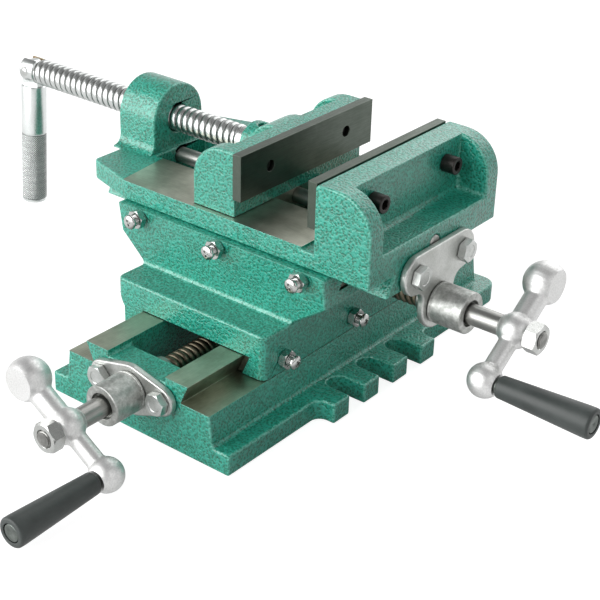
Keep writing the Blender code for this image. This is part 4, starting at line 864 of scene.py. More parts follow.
WAY_SLOT_HALF = 0.0180
TENON_PAINTED = (saddle_low.x + 0.0020, saddle_high.x - 0.0020)
bed_piece = softened("vise_bed", "vise_body", "vise", (ENAMEL, MACHINED_LONG, ENAMEL_WEAR_AND_HIGHLIGHT),
                     cast_width, bed_bare, slice_ways)


def jaw_bare(face):
    """The jaw's underside and its keel slide on the ways."""
    return face.calc_center_median().z < flange_top - TOUCH or face.normal.z < -0.9


jaw_piece = softened("sliding_jaw", "moving_jaw", "jaw", (ENAMEL, MACHINED_LONG, ENAMEL_WEAR_AND_HIGHLIGHT),
                     cast_width, jaw_bare, narrow_faces=True)

# %% [markdown]
# ## One tree for every thread
# A thread is a ridge that climbs one pitch a turn. A stack of rings would only look like
# grooves, and a thread cut by booleans is slow and fragile. Here a flat grid is rolled into
# a tube, and each of its rows is sheared so that it climbs by exactly one pitch. A row then
# stays on one height of the thread's profile all the way along, which keeps the crest and
# the root clean with few faces. The same tree rolls the jaw screw's full round thread and
# the fine threads of the small screws, because its sizes are inputs.

# %% Build the thread tree
def new_tree(name, sockets):
    """A Geometry Nodes tree with named inputs: (name, type, default)."""
    tree = bpy.data.node_groups.new(name, "GeometryNodeTree")
    for socket_name, kind, default in sockets:
        made = tree.interface.new_socket(socket_name, in_out="INPUT", socket_type=kind)
        if default is not None:
            made.default_value = default
    tree.interface.new_socket("Geometry", in_out="OUTPUT", socket_type="NodeSocketGeometry")
    return tree, node(tree, "NodeGroupInput"), node(tree, "NodeGroupOutput")


def rolled_grid(tree, across, around):
    """A flat grid and, for each of its points, the row as a whole number and the turn from 0 to 1."""
    grid = node(tree, "GeometryNodeMeshGrid")
    grid.inputs["Size X"].default_value = 1.0
    grid.inputs["Size Y"].default_value = 1.0
    link(tree, maths(tree, "ADD", across, 1), grid.inputs["Vertices X"])
    link(tree, maths(tree, "ADD", around, 1), grid.inputs["Vertices Y"])
    place = node(tree, "GeometryNodeInputPosition")
    split = node(tree, "ShaderNodeSeparateXYZ")
    link(tree, place.outputs[0], split.inputs[0])
    row = maths(tree, "ROUND", maths(tree, "MULTIPLY", maths(tree, "ADD", split.outputs["X"], 0.5), across))
    turn = maths(tree, "ADD", split.outputs["Y"], 0.5)
    return grid.outputs["Mesh"], row, turn


def wrap(tree, mesh, radius, turn, height):
    """Move a grid's points to a radius, a turn and a height round Z."""
    angle = maths(tree, "MULTIPLY", turn, 2 * math.pi)
    join_xyz = node(tree, "ShaderNodeCombineXYZ")
    link(tree, maths(tree, "MULTIPLY", radius, maths(tree, "COSINE", angle)), join_xyz.inputs["X"])
    link(tree, maths(tree, "MULTIPLY", radius, maths(tree, "SINE", angle)), join_xyz.inputs["Y"])
    link(tree, height, join_xyz.inputs["Z"])
    move = node(tree, "GeometryNodeSetPosition")
    link(tree, mesh, move.inputs["Geometry"])
    link(tree, join_xyz.outputs[0], move.inputs["Position"])
    return move.outputs[0]


def capped(tree, entry, tube, radius, around, length, leave):
    """Close a tube with a disc at each end, weld it, and send it out with its material."""
    parts = node(tree, "GeometryNodeJoinGeometry")
    link(tree, tube, parts.inputs[0])
    for height in (None, length):
        disc = node(tree, "GeometryNodeMeshCircle", fill_type="NGON")
        link(tree, around, disc.inputs["Vertices"])
        link(tree, radius, disc.inputs["Radius"])
        if height is None:
            link(tree, disc.outputs[0], parts.inputs[0])
            continue
        lift = node(tree, "ShaderNodeCombineXYZ")
        move = node(tree, "GeometryNodeTransform")
        link(tree, height, lift.inputs["Z"])
        link(tree, disc.outputs[0], move.inputs["Geometry"])
        link(tree, lift.outputs[0], move.inputs["Translation"])
        link(tree, move.outputs[0], parts.inputs[0])
    weld = node(tree, "GeometryNodeMergeByDistance")
    weld.inputs["Distance"].default_value = 0.000004
    real = node(tree, "GeometryNodeRealizeInstances")
    paint = node(tree, "GeometryNodeSetMaterial")
    link(tree, parts.outputs[0], weld.inputs["Geometry"])
    link(tree, weld.outputs[0], real.inputs[0])
    link(tree, real.outputs[0], paint.inputs["Geometry"])
    link(tree, entry.outputs["Material"], paint.inputs["Material"])
    link(tree, paint.outputs[0], leave.inputs[0])


def thread_tree():
    """A single start, right hand thread from height zero to a length, running out at both ends."""
    tree, entry, leave = new_tree("rolled_thread", (
        ("Length", "NodeSocketFloat", 0.1), ("Pitch", "NodeSocketFloat", 0.004),
        ("Crest", "NodeSocketFloat", 0.007), ("Root", "NodeSocketFloat", 0.006),
        ("Fullness", "NodeSocketFloat", 0.4), ("Run Out", "NodeSocketFloat", 0.001),
        ("Rows", "NodeSocketInt", 12), ("Sides", "NodeSocketInt", 48), ("Material", "NodeSocketMaterial", None)))
    given = entry.outputs
    step = maths(tree, "DIVIDE", given["Pitch"], given["Rows"])
    rows = maths(tree, "ADD", maths(tree, "CEIL", maths(tree, "DIVIDE", given["Length"], step)), given["Rows"])
    mesh, row, turn = rolled_grid(tree, rows, given["Sides"])
    climb = maths(tree, "MULTIPLY", maths(tree, "SUBTRACT", turn, 1.0), given["Pitch"])
    free = maths(tree, "ADD", maths(tree, "MULTIPLY", row, step), climb)
    height = maths(tree, "MINIMUM", maths(tree, "MAXIMUM", free, 0.0), given["Length"])
    phase = maths(tree, "FRACT", maths(tree, "DIVIDE", maths(tree, "ADD", row, 0.01), given["Rows"]))
    ridge = maths(tree, "POWER", maths(tree, "SINE", maths(tree, "MULTIPLY", phase, math.pi)), given["Fullness"])
    left = maths(tree, "SUBTRACT", given["Length"], height)
    near = maths(tree, "DIVIDE", maths(tree, "MINIMUM", height, left), given["Run Out"])
    fade = maths(tree, "MINIMUM", near, 1.0)
    depth = maths(tree, "SUBTRACT", given["Crest"], given["Root"])
    rise = maths(tree, "MULTIPLY", maths(tree, "MULTIPLY", ridge, fade), depth)
    radius = maths(tree, "ADD", given["Root"], rise)
    tube = wrap(tree, mesh, radius, turn, height)
    capped(tree, entry, tube, given["Root"], given["Sides"], given["Length"], leave)
    return tree


def knurl_tree():
    """A bar covered with small diamonds between a smooth start and a smooth end."""
    tree, entry, leave = new_tree("knurled_bar", (
        ("Length", "NodeSocketFloat", 0.04), ("Radius", "NodeSocketFloat", 0.006),
        ("Depth", "NodeSocketFloat", 0.0002), ("Diamonds", "NodeSocketInt", 40),
        ("Diamond Length", "NodeSocketFloat", 0.0013), ("Rows", "NodeSocketInt", 180),
        ("Sides", "NodeSocketInt", 200), ("Material", "NodeSocketMaterial", None)))
    given = entry.outputs
    mesh, row, turn = rolled_grid(tree, given["Rows"], given["Sides"])
    height = maths(tree, "MULTIPLY", maths(tree, "DIVIDE", row, given["Rows"]), given["Length"])
    down = maths(tree, "DIVIDE", height, given["Diamond Length"])
    round_turn = maths(tree, "MULTIPLY", turn, given["Diamonds"])
    waves = [maths(tree, "PINGPONG", maths(tree, kind, round_turn, down), 0.5) for kind in ("ADD", "SUBTRACT")]
    ridge = maths(tree, "MULTIPLY", maths(tree, "MINIMUM", *waves), 2.0)
    left = maths(tree, "SUBTRACT", given["Length"], height)
    near = maths(tree, "DIVIDE", maths(tree, "MINIMUM", height, left), given["Depth"])
    fade = maths(tree, "MINIMUM", near, 1.0)
    low = maths(tree, "SUBTRACT", given["Radius"], given["Depth"])
    lift = maths(tree, "MULTIPLY", maths(tree, "MULTIPLY", ridge, fade), given["Depth"])
    tube = wrap(tree, mesh, maths(tree, "ADD", low, lift), turn, height)
    capped(tree, entry, tube, low, given["Sides"], given["Length"], leave)
    return tree


def grown(name, tree, frame_matrix, **values):
    """Run a tree on an empty mesh, turn the result into a plain mesh and put it in place."""
    thing = bpy.data.objects.new(name, bpy.data.meshes.new(name))
    bpy.context.scene.collection.objects.link(thing)
    grow = thing.modifiers.new("grow", "NODES")
    grow.node_group = tree
    for socket in tree.interface.items_tree:
        key = socket.name.replace(" ", "_").lower()
        if getattr(socket, "in_out", "") == "INPUT" and key in values:
            grow[socket.identifier] = values[key]
    plain(thing)
    editable = bmesh.new()
    editable.from_mesh(thing.data)
    bmesh.ops.recalc_face_normals(editable, faces=editable.faces)
    editable.transform(frame_matrix)
    editable.to_mesh(thing.data)
    editable.free()
    return thing


THREAD = thread_tree()
KNURL = knurl_tree()
print(f"thread tree of {len(THREAD.nodes)} nodes, knurl tree of {len(KNURL.nodes)} nodes")

# %% [markdown]
# ## The jaw screw
# The jaw screw's thread is rolled, full and round, with bright crests, and its roots are painted dark as shade. Its
# outer end is plain, slotted for the handle's tongue, and pinned. The slot could be modelled as two ears, but it is
# cut on the real screw, so a plain bar is turned here, the slot is cut out of it, and the thread joins on.

# %% Turn the jaw screw, cut its fork and roll its thread
JAW_SCREW_RADIUS = 0.0070
JAW_SCREW_ROOT = 0.0058
JAW_SCREW_PITCH = 0.0040
PLAIN_END = 0.0100
PLAIN_NOSE = 0.0060
FORK_SLOT = 0.0066
FORK_DEPTH = 0.0090
PIN_RADIUS = 0.0025


def bolt(name, *parts, material, body, nodes, slot):
    """Join a fastener's parts into one finished piece."""
    return finish(join(name, *parts), material, body, nodes)


def axis_of(joint_name):
    """A joint's place and its direction in the frame."""
    joint = joints[joint_name]
    return Vector(joint["pos_m"]), Vector(joint["axis"])


pin_place, pin_direction = axis_of("handle_fold")
handle_down = pin_direction.cross(Vector((1, 0, 0))).normalized()
if handle_down.z > 0:
    handle_down.negate()
screw_low, screw_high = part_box("jaw_screw")
boss_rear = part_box("moving_jaw")[0].x


def box_between(name, low, high, turn):
    """A block between two corners of a turned frame, used as a cutter."""
    editable = bmesh.new()
    bmesh.ops.create_cube(editable, size=1.0)
    size = [high[axis] - low[axis] for axis in range(3)]
    middle = [(high[axis] + low[axis]) / 2 for axis in range(3)]
    editable.transform(turn @ Matrix.Translation(middle) @ Matrix.Diagonal((*size, 1)))
    return as_object(editable, name)


def screw_end():
    """The plain outer end with its slot and pin hole."""
    start, stop = screw_low.x - pin_place.x, screw_low.x + PLAIN_END - pin_place.x
    r = JAW_SCREW_RADIUS
    outline = fillet([(0, start), (r, start), (r, stop), (JAW_SCREW_ROOT, stop + 0.0008),
                      (JAW_SCREW_ROOT, stop + 0.003), (0, stop + 0.003)], {1: 0.0012, 2: 0.0003})
    end = as_object(lathe(outline, frame_at(pin_place, (1, 0, 0))), "screw_end")
    across = Matrix((Vector((1, 0, 0)), pin_direction, -handle_down)).transposed().to_4x4()
    turn = Matrix.Translation(pin_place) @ across
    reach = 2 * r
    slot = box_between("fork_slot", (-reach, -FORK_SLOT / 2, -reach), (FORK_DEPTH, FORK_SLOT / 2, reach), turn)
    combine(end, slot, "DIFFERENCE")
    # the slot's inner walls take the dark brown, painted shade inside the fork
    return paint_faces(end, (THREAD_ZINC, FORK_SLOT_SHADE),
                       lambda face: int(abs(face.normal.dot(pin_direction)) > 0.99
                                        and abs((face.center - pin_place).dot(pin_direction)) < FORK_SLOT / 2 + TOUCH))


def jaw_screw():
    start = screw_low.x + PLAIN_END
    stop = boss_rear - PLAIN_NOSE
    axis = Vector((0, 0, pin_place.z))
    thread = grown("jaw_thread", THREAD, frame_at(axis + Vector((start, 0, 0)), (1, 0, 0)),
                   length=stop - start, pitch=JAW_SCREW_PITCH, crest=JAW_SCREW_RADIUS, root=JAW_SCREW_ROOT,
                   fullness=0.42, run_out=0.0016, rows=14, sides=56)
    # below this radius the thread takes the dark root material, painted shade in its roots
    dark = JAW_SCREW_ROOT + (JAW_SCREW_RADIUS - JAW_SCREW_ROOT) * 0.50
    paint_faces(thread, (THREAD_ZINC, THREAD_ROOT_SHADE),
                lambda face: int(from_axis(face, axis, Vector((1, 0, 0))) < dark))
    low, high = stop - 0.0010, screw_high.x
    r = JAW_SCREW_RADIUS
    outline = fillet([(0, low), (r - 0.0004, low), (r - 0.0004, high), (0, high)], {1: 0.0006, 2: 0.0008})
    nose = as_object(lathe(outline, frame_at(axis, (1, 0, 0))), "screw_nose")
    nose.data.materials.append(THREAD_ZINC)
    return bolt("jaw_lead_screw", thread, screw_end(), nose, material=None, body="screw",
                nodes=["jaw_screw"], slot="zinc_steel")


def handle_pin():
    """A riveted pin: domed ends that stand a little proud of the fork."""
    low, high = span("handle_pin", pin_place, pin_direction)
    dome = 0.0009
    outline = [(0, low)] + [(PIN_RADIUS * math.sin(t), low + dome * (1 - math.cos(t)))
                            for t in (0.5, 1.0, math.pi / 2)]
    outline += [(radius, low + high - height) for radius, height in reversed(outline)]
    return finish(as_object(lathe(outline, frame_at(pin_place, pin_direction), 32), "fork_pin"), CHROME, "screw",
                  ["handle_pin"])


def span(node_name, place, direction):
    """How far a solid reaches from a place, back and forth along a direction."""
    steps = [(vertex.co - place).dot(direction) for vertex in frame["nodes"][node_name].data.vertices]
    return min(steps), max(steps)


jaw_screw()
handle_pin()

# %% [markdown]
# ## The folding handle
# The handle is a turned bar with a smooth upper part and a knurled lower part for the hand.
# A bump texture would leave its outline smooth, and the outline is what shows against the
# white, so the diamonds are real: two sets of ridges wind round the bar in opposite
# directions, and where both are high a diamond stands up.

# %% Turn the handle and knurl its lower half
HANDLE_RADIUS = 0.0069
KNURL_DEPTH = 0.00028
KNURL_TOP = 0.0365
TONGUE_HALF = 0.0030
TONGUE_RADIUS = 0.0058


def jaw_handle():
    low, high = span("jaw_handle", pin_place, handle_down)
    shoulder = 0.0085
    r = HANDLE_RADIUS
    turn = frame_at(pin_place, handle_down)
    rounding = {1: 0.0009, 2: 0.0004}
    upper = fillet([(0, shoulder), (r, shoulder), (r, KNURL_TOP - 0.0008), (r - 0.0005, KNURL_TOP),
                    (r - 0.0005, KNURL_TOP + 0.002), (0, KNURL_TOP + 0.002)], rounding)
    knurl_end = high - 0.0022
    lower = fillet([(0, knurl_end - 0.002), (r - 0.0005, knurl_end - 0.002), (r - 0.0005, knurl_end),
                    (r - 0.0001, knurl_end + 0.0003), (r - 0.0001, high), (0, high)], {4: 0.0016})
    knurl = grown("knurl", KNURL, frame_at(pin_place + handle_down * KNURL_TOP, handle_down),
                  length=knurl_end - KNURL_TOP, radius=r, depth=KNURL_DEPTH, diamonds=34,
                  diamond_length=0.00120, rows=216, sides=204)
    # below this radius the knurl takes the dark groove material, painted shade between the diamonds
    groove = r - KNURL_DEPTH * 0.62
    paint_faces(knurl, (KNURLED_ZINC, KNURL_GROOVE_SHADE),
                lambda face: int(from_axis(face, pin_place, handle_down) < groove))
    steps = [math.pi * step / 24 for step in range(25)]
    outline = [(TONGUE_RADIUS * math.cos(t), -TONGUE_RADIUS * math.sin(t)) for t in steps]
    outline += [(-TONGUE_RADIUS, shoulder + 0.001), (TONGUE_RADIUS, shoulder + 0.001)]
    smooth = [as_object(lathe(upper, turn), "upper"), as_object(lathe(lower, turn), "lower"), tongue(outline)]
    for part in smooth:
        part.data.materials.append(KNURLED_ZINC)
    return bolt("folding_handle", knurl, *smooth, material=None, body="handle", nodes=["jaw_handle"],
                slot="zinc_steel")


def tongue(outline):
    """The flat tongue in the fork, drawn in the plane that the screw's axis and the handle share."""
    editable = bmesh.new()
    place = Matrix((Vector((1, 0, 0)), handle_down, pin_direction)).transposed().to_4x4()
    loops = [[editable.verts.new((u, v, side * TONGUE_HALF)) for u, v in outline] for side in (1, -1)]
    editable.faces.new(loops[0])
    editable.faces.new(loops[1][::-1])
    for step in range(len(outline)):
        after = (step + 1) % len(outline)
        editable.faces.new((loops[0][after], loops[0][step], loops[1][step], loops[1][after]))
    bmesh.ops.recalc_face_normals(editable, faces=editable.faces)
    editable.transform(Matrix.Translation(pin_place) @ place)
    return as_object(editable, "tongue")


jaw_handle()

# %% [markdown]
# ## Cross screws and their sleeves
# Each cross screw is one bar from end to end: a thread in the slide's nut, a collar, a plain
# shaft that passes through the bracket and its sleeve, and a stud for the crank. The parts
# are turned one after another along the same axis, and each takes its stations from the
# solid that it stands for, so the thread begins where the collar ends.

# %% Turn the cross screws and the sleeves
LEAD_RADIUS = 0.0060
LEAD_ROOT = 0.0049
LEAD_PITCH = 0.0035
SHAFT_RADIUS = 0.0050
COLLAR_RADIUS = 0.0075
COLLAR_LENGTH = 0.0030
STUD_RADIUS = 0.0040
HUB_BACK = 0.0072
HUB_FRONT = 0.0068
NUT_HEIGHT = 0.0065


def cross_screw(which, wall):
    """wall is the station of the collar's outer face along the outward axis."""
    hub, outward = axis_of(f"{which}_crank_turn")
    low, high = span(f"{which}_cross_screw", hub, outward)
    turn = frame_at(hub, outward)
    thread = grown(f"{which}_lead", THREAD, frame_at(hub + outward * low, outward), length=wall - COLLAR_LENGTH - low,
                   pitch=LEAD_PITCH, crest=LEAD_RADIUS, root=LEAD_ROOT, fullness=0.5, run_out=0.0015,
                   rows=10, sides=40, material=OILY)
    shaft_end = -HUB_BACK
    outline = fillet([(0, wall - COLLAR_LENGTH - 0.001), (COLLAR_RADIUS, wall - COLLAR_LENGTH - 0.001),
                      (COLLAR_RADIUS, wall), (SHAFT_RADIUS, wall), (SHAFT_RADIUS, shaft_end),
                      (STUD_RADIUS, shaft_end), (STUD_RADIUS, HUB_FRONT), (0, HUB_FRONT)],
                     {1: 0.0003, 2: 0.0003})
    shaft = as_object(lathe(outline, turn), f"{which}_shaft")
    shaft.data.materials.append(TURNED)
    stud = grown(f"{which}_stud", THREAD, frame_at(hub + outward * (HUB_FRONT - 0.001), outward),
                 length=high - HUB_FRONT + 0.001, pitch=0.0010, crest=STUD_RADIUS, root=STUD_RADIUS - 0.0006,
                 fullness=1.0, run_out=0.0006, rows=6, sides=32, material=STUD_STEEL)
    made = join(f"{which}_screw", thread, shaft, stud)
    return finish(made, None, f"{which}_crank", [f"{which}_cross_screw"])


def sleeve(which):
    """The sleeve behind the bracket: cast, then faced and bored wider at its mouth."""
    hub, outward = axis_of(f"{which}_crank_turn")
    low, high = span(f"{which}_dial", hub, outward)
    radius, mouth, depth = 0.0100, 0.0064, 0.0030
    outline = fillet([(SHAFT_RADIUS + TOUCH, low), (radius, low), (radius, low + 0.0011), (radius - 0.0003, low + 0.0013),
                      (radius - 0.0003, low + 0.0016), (radius, low + 0.0019), (radius, high), (mouth, high),
                      (mouth, high - depth), (SHAFT_RADIUS + TOUCH, high - depth)], {1: 0.0003, 6: 0.0007, 7: 0.0004})
    return finish(as_object(lathe(outline, frame_at(hub, outward), 96), f"{which}_sleeve"), CAST_ALUMINIUM_WITH_SHADE,
                  f"{which}_crank", [f"{which}_dial"])


FRONT_BRIDGE = 0.0930
cross_screw("lower", FRONT_BRIDGE - TOUCH + joints["lower_crank_turn"]["pos_m"][1])
cross_screw("upper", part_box("upper_bracket")[0].x - TOUCH - joints["upper_crank_turn"]["pos_m"][0])
for which in ("lower", "upper"):
    sleeve(which)

# %% [markdown]
# ## Brackets
# Each bracket is a flat plate with two ears, die cast and tumbled, so its rim is round. A
# softened copy of the solid is enough: every outer edge gets the same small round, and the
# holes stay crisp because the bolts and the shaft fill them.

# %% Round the brackets' rims
BRACKET_EDGE = 0.0009


def bracket(which, body):
    return softened(f"{which}_bearing_plate", f"{which}_bracket", body, (PLATE_ALUMINIUM,),
                    lambda edge: BRACKET_EDGE if edge.is_convex else MILLED_EDGE)


bracket("lower", "base")
bracket("upper", "vise")

# %% [markdown]
# ## Ball cranks
# The crank is the nicest shape here: three balls on one bar, a big one as a counterweight, a middle one on the shaft
# and a small one for the grip. The fronts of the outer two are cut off flat, and the middle one carries a round boss.
# Spheres joined to cylinders would meet in hard creases. A real crank is turned from one bar with a small round at
# each ball's root, so its whole outline is one curve made of arcs, and the lathe turns it. A fine remesh then softens
# every edge the way tumbling does, and the flats are cut after it.

# %% Turn the cranks, cut their flats and tumble them
BIG_BALL, HUB_BALL, SMALL_BALL = 0.0103, 0.0084, 0.0082
BIG_ARM = 0.0275
ARM_THICK, ARM_THIN = 0.0056, 0.0044
ROOT_ROUND = 0.0022
CRANK_FLAT = 0.0064
HUB_BOSS = 0.0056
HUB_CLEAR = 0.0092
TUMBLE_VOXEL = 0.00034


def ball_bar(balls, arms, steps=12):
    """The outline of balls on a bar: balls are (height, radius), arms the bar's radius between them."""
    points = []
    for index, (height, radius) in enumerate(balls):
        start, end = 0.0, math.pi
        if index > 0:
            arm = arms[index - 1]
            start = math.asin((arm + ROOT_ROUND) / (radius + ROOT_ROUND))
        if index < len(balls) - 1:
            arm = arms[index]
            end = math.pi - math.asin((arm + ROOT_ROUND) / (radius + ROOT_ROUND))
        if index > 0:
            points += root_round(height, radius, arms[index - 1], 1)
        for step in range(steps + 1):
            angle = start + (end - start) * step / steps
            points.append((max(radius * math.sin(angle), 0.0), height + radius * math.cos(angle)))
        if index < len(balls) - 1:
            points += root_round(height, radius, arms[index], -1)
    points[0] = (0.0, points[0][1])
    points[-1] = (0.0, points[-1][1])
    return points


def root_round(height, radius, arm, side, steps=5):
    """The small hollow arc between a ball and the bar, above (1) or below (-1) the ball."""
    reach = math.sqrt((radius + ROOT_ROUND) ** 2 - (arm + ROOT_ROUND) ** 2)
    middle = height + side * reach
    lean = math.atan2(reach, arm + ROOT_ROUND)
    arcs = []
    for step in range(1, steps + 1):
        angle = lean * step / (steps + 1)
        arcs.append((arm + ROOT_ROUND - ROOT_ROUND * math.cos(angle), middle - side * ROOT_ROUND * math.sin(angle)))
    return arcs if side > 0 else arcs[::-1]


def ball_crank(which):
    hub, outward = axis_of(f"{which}_crank_turn")
    knob, _ = axis_of(f"{which}_grip_spin")
    arm_way = (hub - knob).normalized()
    small_arm = (hub - knob).length
    outline = ball_bar(((BIG_ARM, BIG_BALL), (0.0, HUB_BALL), (-small_arm, SMALL_BALL)), (ARM_THICK, ARM_THIN))
    crank = as_object(lathe(outline, frame_at(hub, arm_way), 72), f"{which}_ball_crank")
    across = outward.cross(arm_way)
    turn = Matrix.Translation(hub) @ Matrix((arm_way, across, outward)).transposed().to_4x4()
    reach = BIG_ARM + 2 * BIG_BALL
    boss = fillet([(0, -HUB_BACK), (HUB_BOSS, -HUB_BACK), (HUB_BOSS, HUB_FRONT), (0, HUB_FRONT)],
                  {1: 0.0006, 2: 0.0005})
    combine(crank, as_object(lathe(boss, frame_at(hub, outward)), "hub_boss"), "UNION")
    melt = crank.modifiers.new("tumble", "REMESH")
    melt.mode = "VOXEL"
    melt.voxel_size = TUMBLE_VOXEL
    smooth = crank.modifiers.new("smooth", "SMOOTH")
    smooth.factor = 0.5
    smooth.iterations = 5
    plain(crank)
    for low, high in ((HUB_CLEAR, reach), (-2 * reach, -HUB_CLEAR)):
        cutter = box_between("crank_flat", (low, -reach, CRANK_FLAT), (high, reach, reach), turn)
        combine(crank, cutter, "DIFFERENCE")
    return finish(crank, ALUMINIUM, f"{which}_crank", [f"{which}_crank_arm"], math.radians(30))


for which in ("lower", "upper"):
    ball_crank(which)

# %% [markdown]
# ## Grips
# The black grip is a tapered tube that spins on a shouldered spindle. Its outer end shows a
# rounded rim, a narrow dark gap and the spindle's flat head a little way down. Each is one
# turned outline, and the gap is real, so the head stays still while the grip turns.

# %% Turn the grips and their spindles
GRIP_THIN, GRIP_THICK = 0.0053, 0.0071
SPINDLE_RADIUS = 0.0025
SPINDLE_HEAD = 0.0042
RECESS = 0.0024


def grip(which):
    knob, outward = axis_of(f"{which}_grip_spin")
    low, high = span(f"{which}_crank_grip", knob, outward)
    bore, mouth = SPINDLE_RADIUS + TOUCH, SPINDLE_HEAD + TOUCH
    outline = fillet([(bore, low), (GRIP_THIN - 0.0006, low), (GRIP_THIN, low + 0.0008), (GRIP_THICK, high - 0.0040),
                      (GRIP_THICK, high), (mouth, high), (mouth, high - RECESS), (bore, high - RECESS)],
                     {1: 0.0003, 2: 0.0006, 3: 0.008, 4: 0.0013, 5: 0.0004}, 6)
    return finish(as_object(lathe(outline, frame_at(knob, outward), 80), f"{which}_handgrip"), GRIP,
                  f"{which}_grip", [f"{which}_crank_grip"])


def spindle(which):
    knob, outward = axis_of(f"{which}_grip_spin")
    low, high = span(f"{which}_grip_spindle", knob, outward)
    grip_low, grip_high = span(f"{which}_crank_grip", knob, outward)
    head = grip_high - RECESS + TOUCH
    shoulder = 0.00375
    outline = fillet([(0, low), (SPINDLE_RADIUS, low), (SPINDLE_RADIUS, CRANK_FLAT + TOUCH), (shoulder, CRANK_FLAT + TOUCH),
                      (shoulder, grip_low - TOUCH), (SPINDLE_RADIUS, grip_low - TOUCH), (SPINDLE_RADIUS, head),
                      (SPINDLE_HEAD, head), (SPINDLE_HEAD, high), (0.0011, high), (0, high - 0.0005)], {8: 0.0005})
    return finish(as_object(lathe(outline, frame_at(knob, outward), 48), f"{which}_spindle"), SPINDLE_STEEL,
                  f"{which}_crank", [f"{which}_grip_spindle"])


for which in ("lower", "upper"):
    grip(which)
    spindle(which)

# %% [markdown]
# ## Nuts and screws in rows
# A row of identical fasteners asks for one good fastener and a rule. The rule is a small
# Geometry Nodes tree: a line of points, the fastener placed on each, and the whole made
# real. One tree serves the gib screws, their lock nuts, the bracket bolts and the socket
# screws, because the fastener, the count and the step between them are its inputs.

# %% Build the row tree and the fasteners' shapes
def row_tree():
    tree, entry, leave = new_tree("fastener_row", (
        ("Fastener", "NodeSocketObject", None), ("Count", "NodeSocketInt", 3),
        ("First", "NodeSocketVector", None), ("Step", "NodeSocketVector", None),
        ("Material", "NodeSocketMaterial", None)))
    given = entry.outputs
    line = node(tree, "GeometryNodeMeshLine")
    link(tree, given["Count"], line.inputs["Count"])
    link(tree, given["First"], line.inputs["Start Location"])
    link(tree, given["Step"], line.inputs["Offset"])
    source = node(tree, "GeometryNodeObjectInfo")
    link(tree, given["Fastener"], source.inputs["Object"])
    place = node(tree, "GeometryNodeInstanceOnPoints")
    link(tree, line.outputs[0], place.inputs["Points"])
    link(tree, source.outputs["Geometry"], place.inputs["Instance"])
    real = node(tree, "GeometryNodeRealizeInstances")
    paint = node(tree, "GeometryNodeSetMaterial")
    link(tree, place.outputs[0], real.inputs[0])
    link(tree, real.outputs[0], paint.inputs["Geometry"])
    link(tree, given["Material"], paint.inputs["Material"])
    link(tree, paint.outputs[0], leave.inputs[0])
    return tree


ROW = row_tree()


def centre_of(node_name):
    low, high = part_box(node_name)
    return (low + high) / 2


def fastener_row(name, fastener, nodes, material, body):
    """Repeat a fastener, made at the first node's place, over a row of nodes."""
    first, last = centre_of(nodes[0]), centre_of(nodes[-1])
    step = (last - first) / max(len(nodes) - 1, 1)
    row = grown(name, ROW, Matrix.Identity(4), fastener=fastener, count=len(nodes), first=(0.0, 0.0, 0.0),
                step=tuple(step), material=material)
    bpy.data.objects.remove(fastener, do_unlink=True)
    return finish(row, material, body, nodes, math.radians(30))


def hexagon(name, corner, low, high, turn, both=False, hole=0.0):
    """A hexagon with its corners turned off at the top, or at both ends, and bored if it is a nut."""
    piece = as_object(prism(6, corner, low, high, turn, math.radians(15)), name)
    flat, drop = corner * 0.88, corner * 0.10
    top = [(flat, high), (corner * 1.02, high - drop)]
    foot = [(corner * 1.02, low + drop), (flat, low)] if both else [(corner * 1.02, low)]
    outline = [(0, high)] + top + foot + [(0, low)]
    combine(piece, as_object(lathe(outline, turn, 48), "crown"), "INTERSECT")
    if hole:
        chamfer = hole + 0.0006
        bore = [(0, low - 0.001), (hole, low - 0.001), (hole, high - 0.0006), (chamfer, high + 0.0001), (0, high + 0.0001)]
        combine(piece, as_object(lathe(bore, turn, 40), "bore"), "DIFFERENCE")
    return piece


def pan_head(name, radius, neck, height, turn):
    """A domed head with a cross recess."""
    crown = [(radius * math.sin(t), neck + height * (0.35 + 0.65 * math.cos(t))) for t in
             [math.pi / 2 * step / 8 for step in range(9)]]
    outline = crown + [(radius, neck + 0.0003), (radius - 0.0003, neck), (0, neck)]
    head = as_object(lathe(outline, turn, 48), name)
    wide, narrow, depth = radius * 0.62, radius * 0.15, height * 0.62
    for angle in (0.4, 0.4 + math.pi / 2):
        spin = turn @ Matrix.Rotation(angle, 4, "Z")
        top = neck + height
        cutter = box_between("cross", (-wide, -narrow, top - depth), (wide, narrow, top + 0.001), spin)
        for vertex in cutter.data.vertices:
            local = spin.inverted() @ vertex.co
            if local.z < top:
                local.x *= 0.45
                vertex.co = spin @ local
        combine(head, cutter, "DIFFERENCE")
    return head


def socket_head(name, radius, low, high, key, depth, turn):
    """A round cap screw head with a hexagon socket."""
    outline = fillet([(0, high), (radius, high), (radius, low), (0, low)], {1: 0.0006, 2: 0.0002})
    head = as_object(lathe(outline, turn, 48), name)
    socket = as_object(prism(6, key, high - depth, high + 0.001, turn, 0.3), "socket")
    combine(head, socket, "DIFFERENCE")
    mouth = [(0, high - 0.0004), (key * 0.9, high - 0.0004), (key * 1.08, high + 0.0001), (0, high + 0.0001)]
    return combine(head, as_object(lathe(mouth, turn, 36), "mouth"), "DIFFERENCE")


print(f"row tree of {len(ROW.nodes)} nodes")

# %% Fit the gib screws and nuts
GIB_SCREW_RADIUS = 0.0025
GIB_HEAD_RADIUS = 0.0036
GIB_HEAD_HEIGHT = 0.0022
GIB_NUT_CORNER = 0.0049


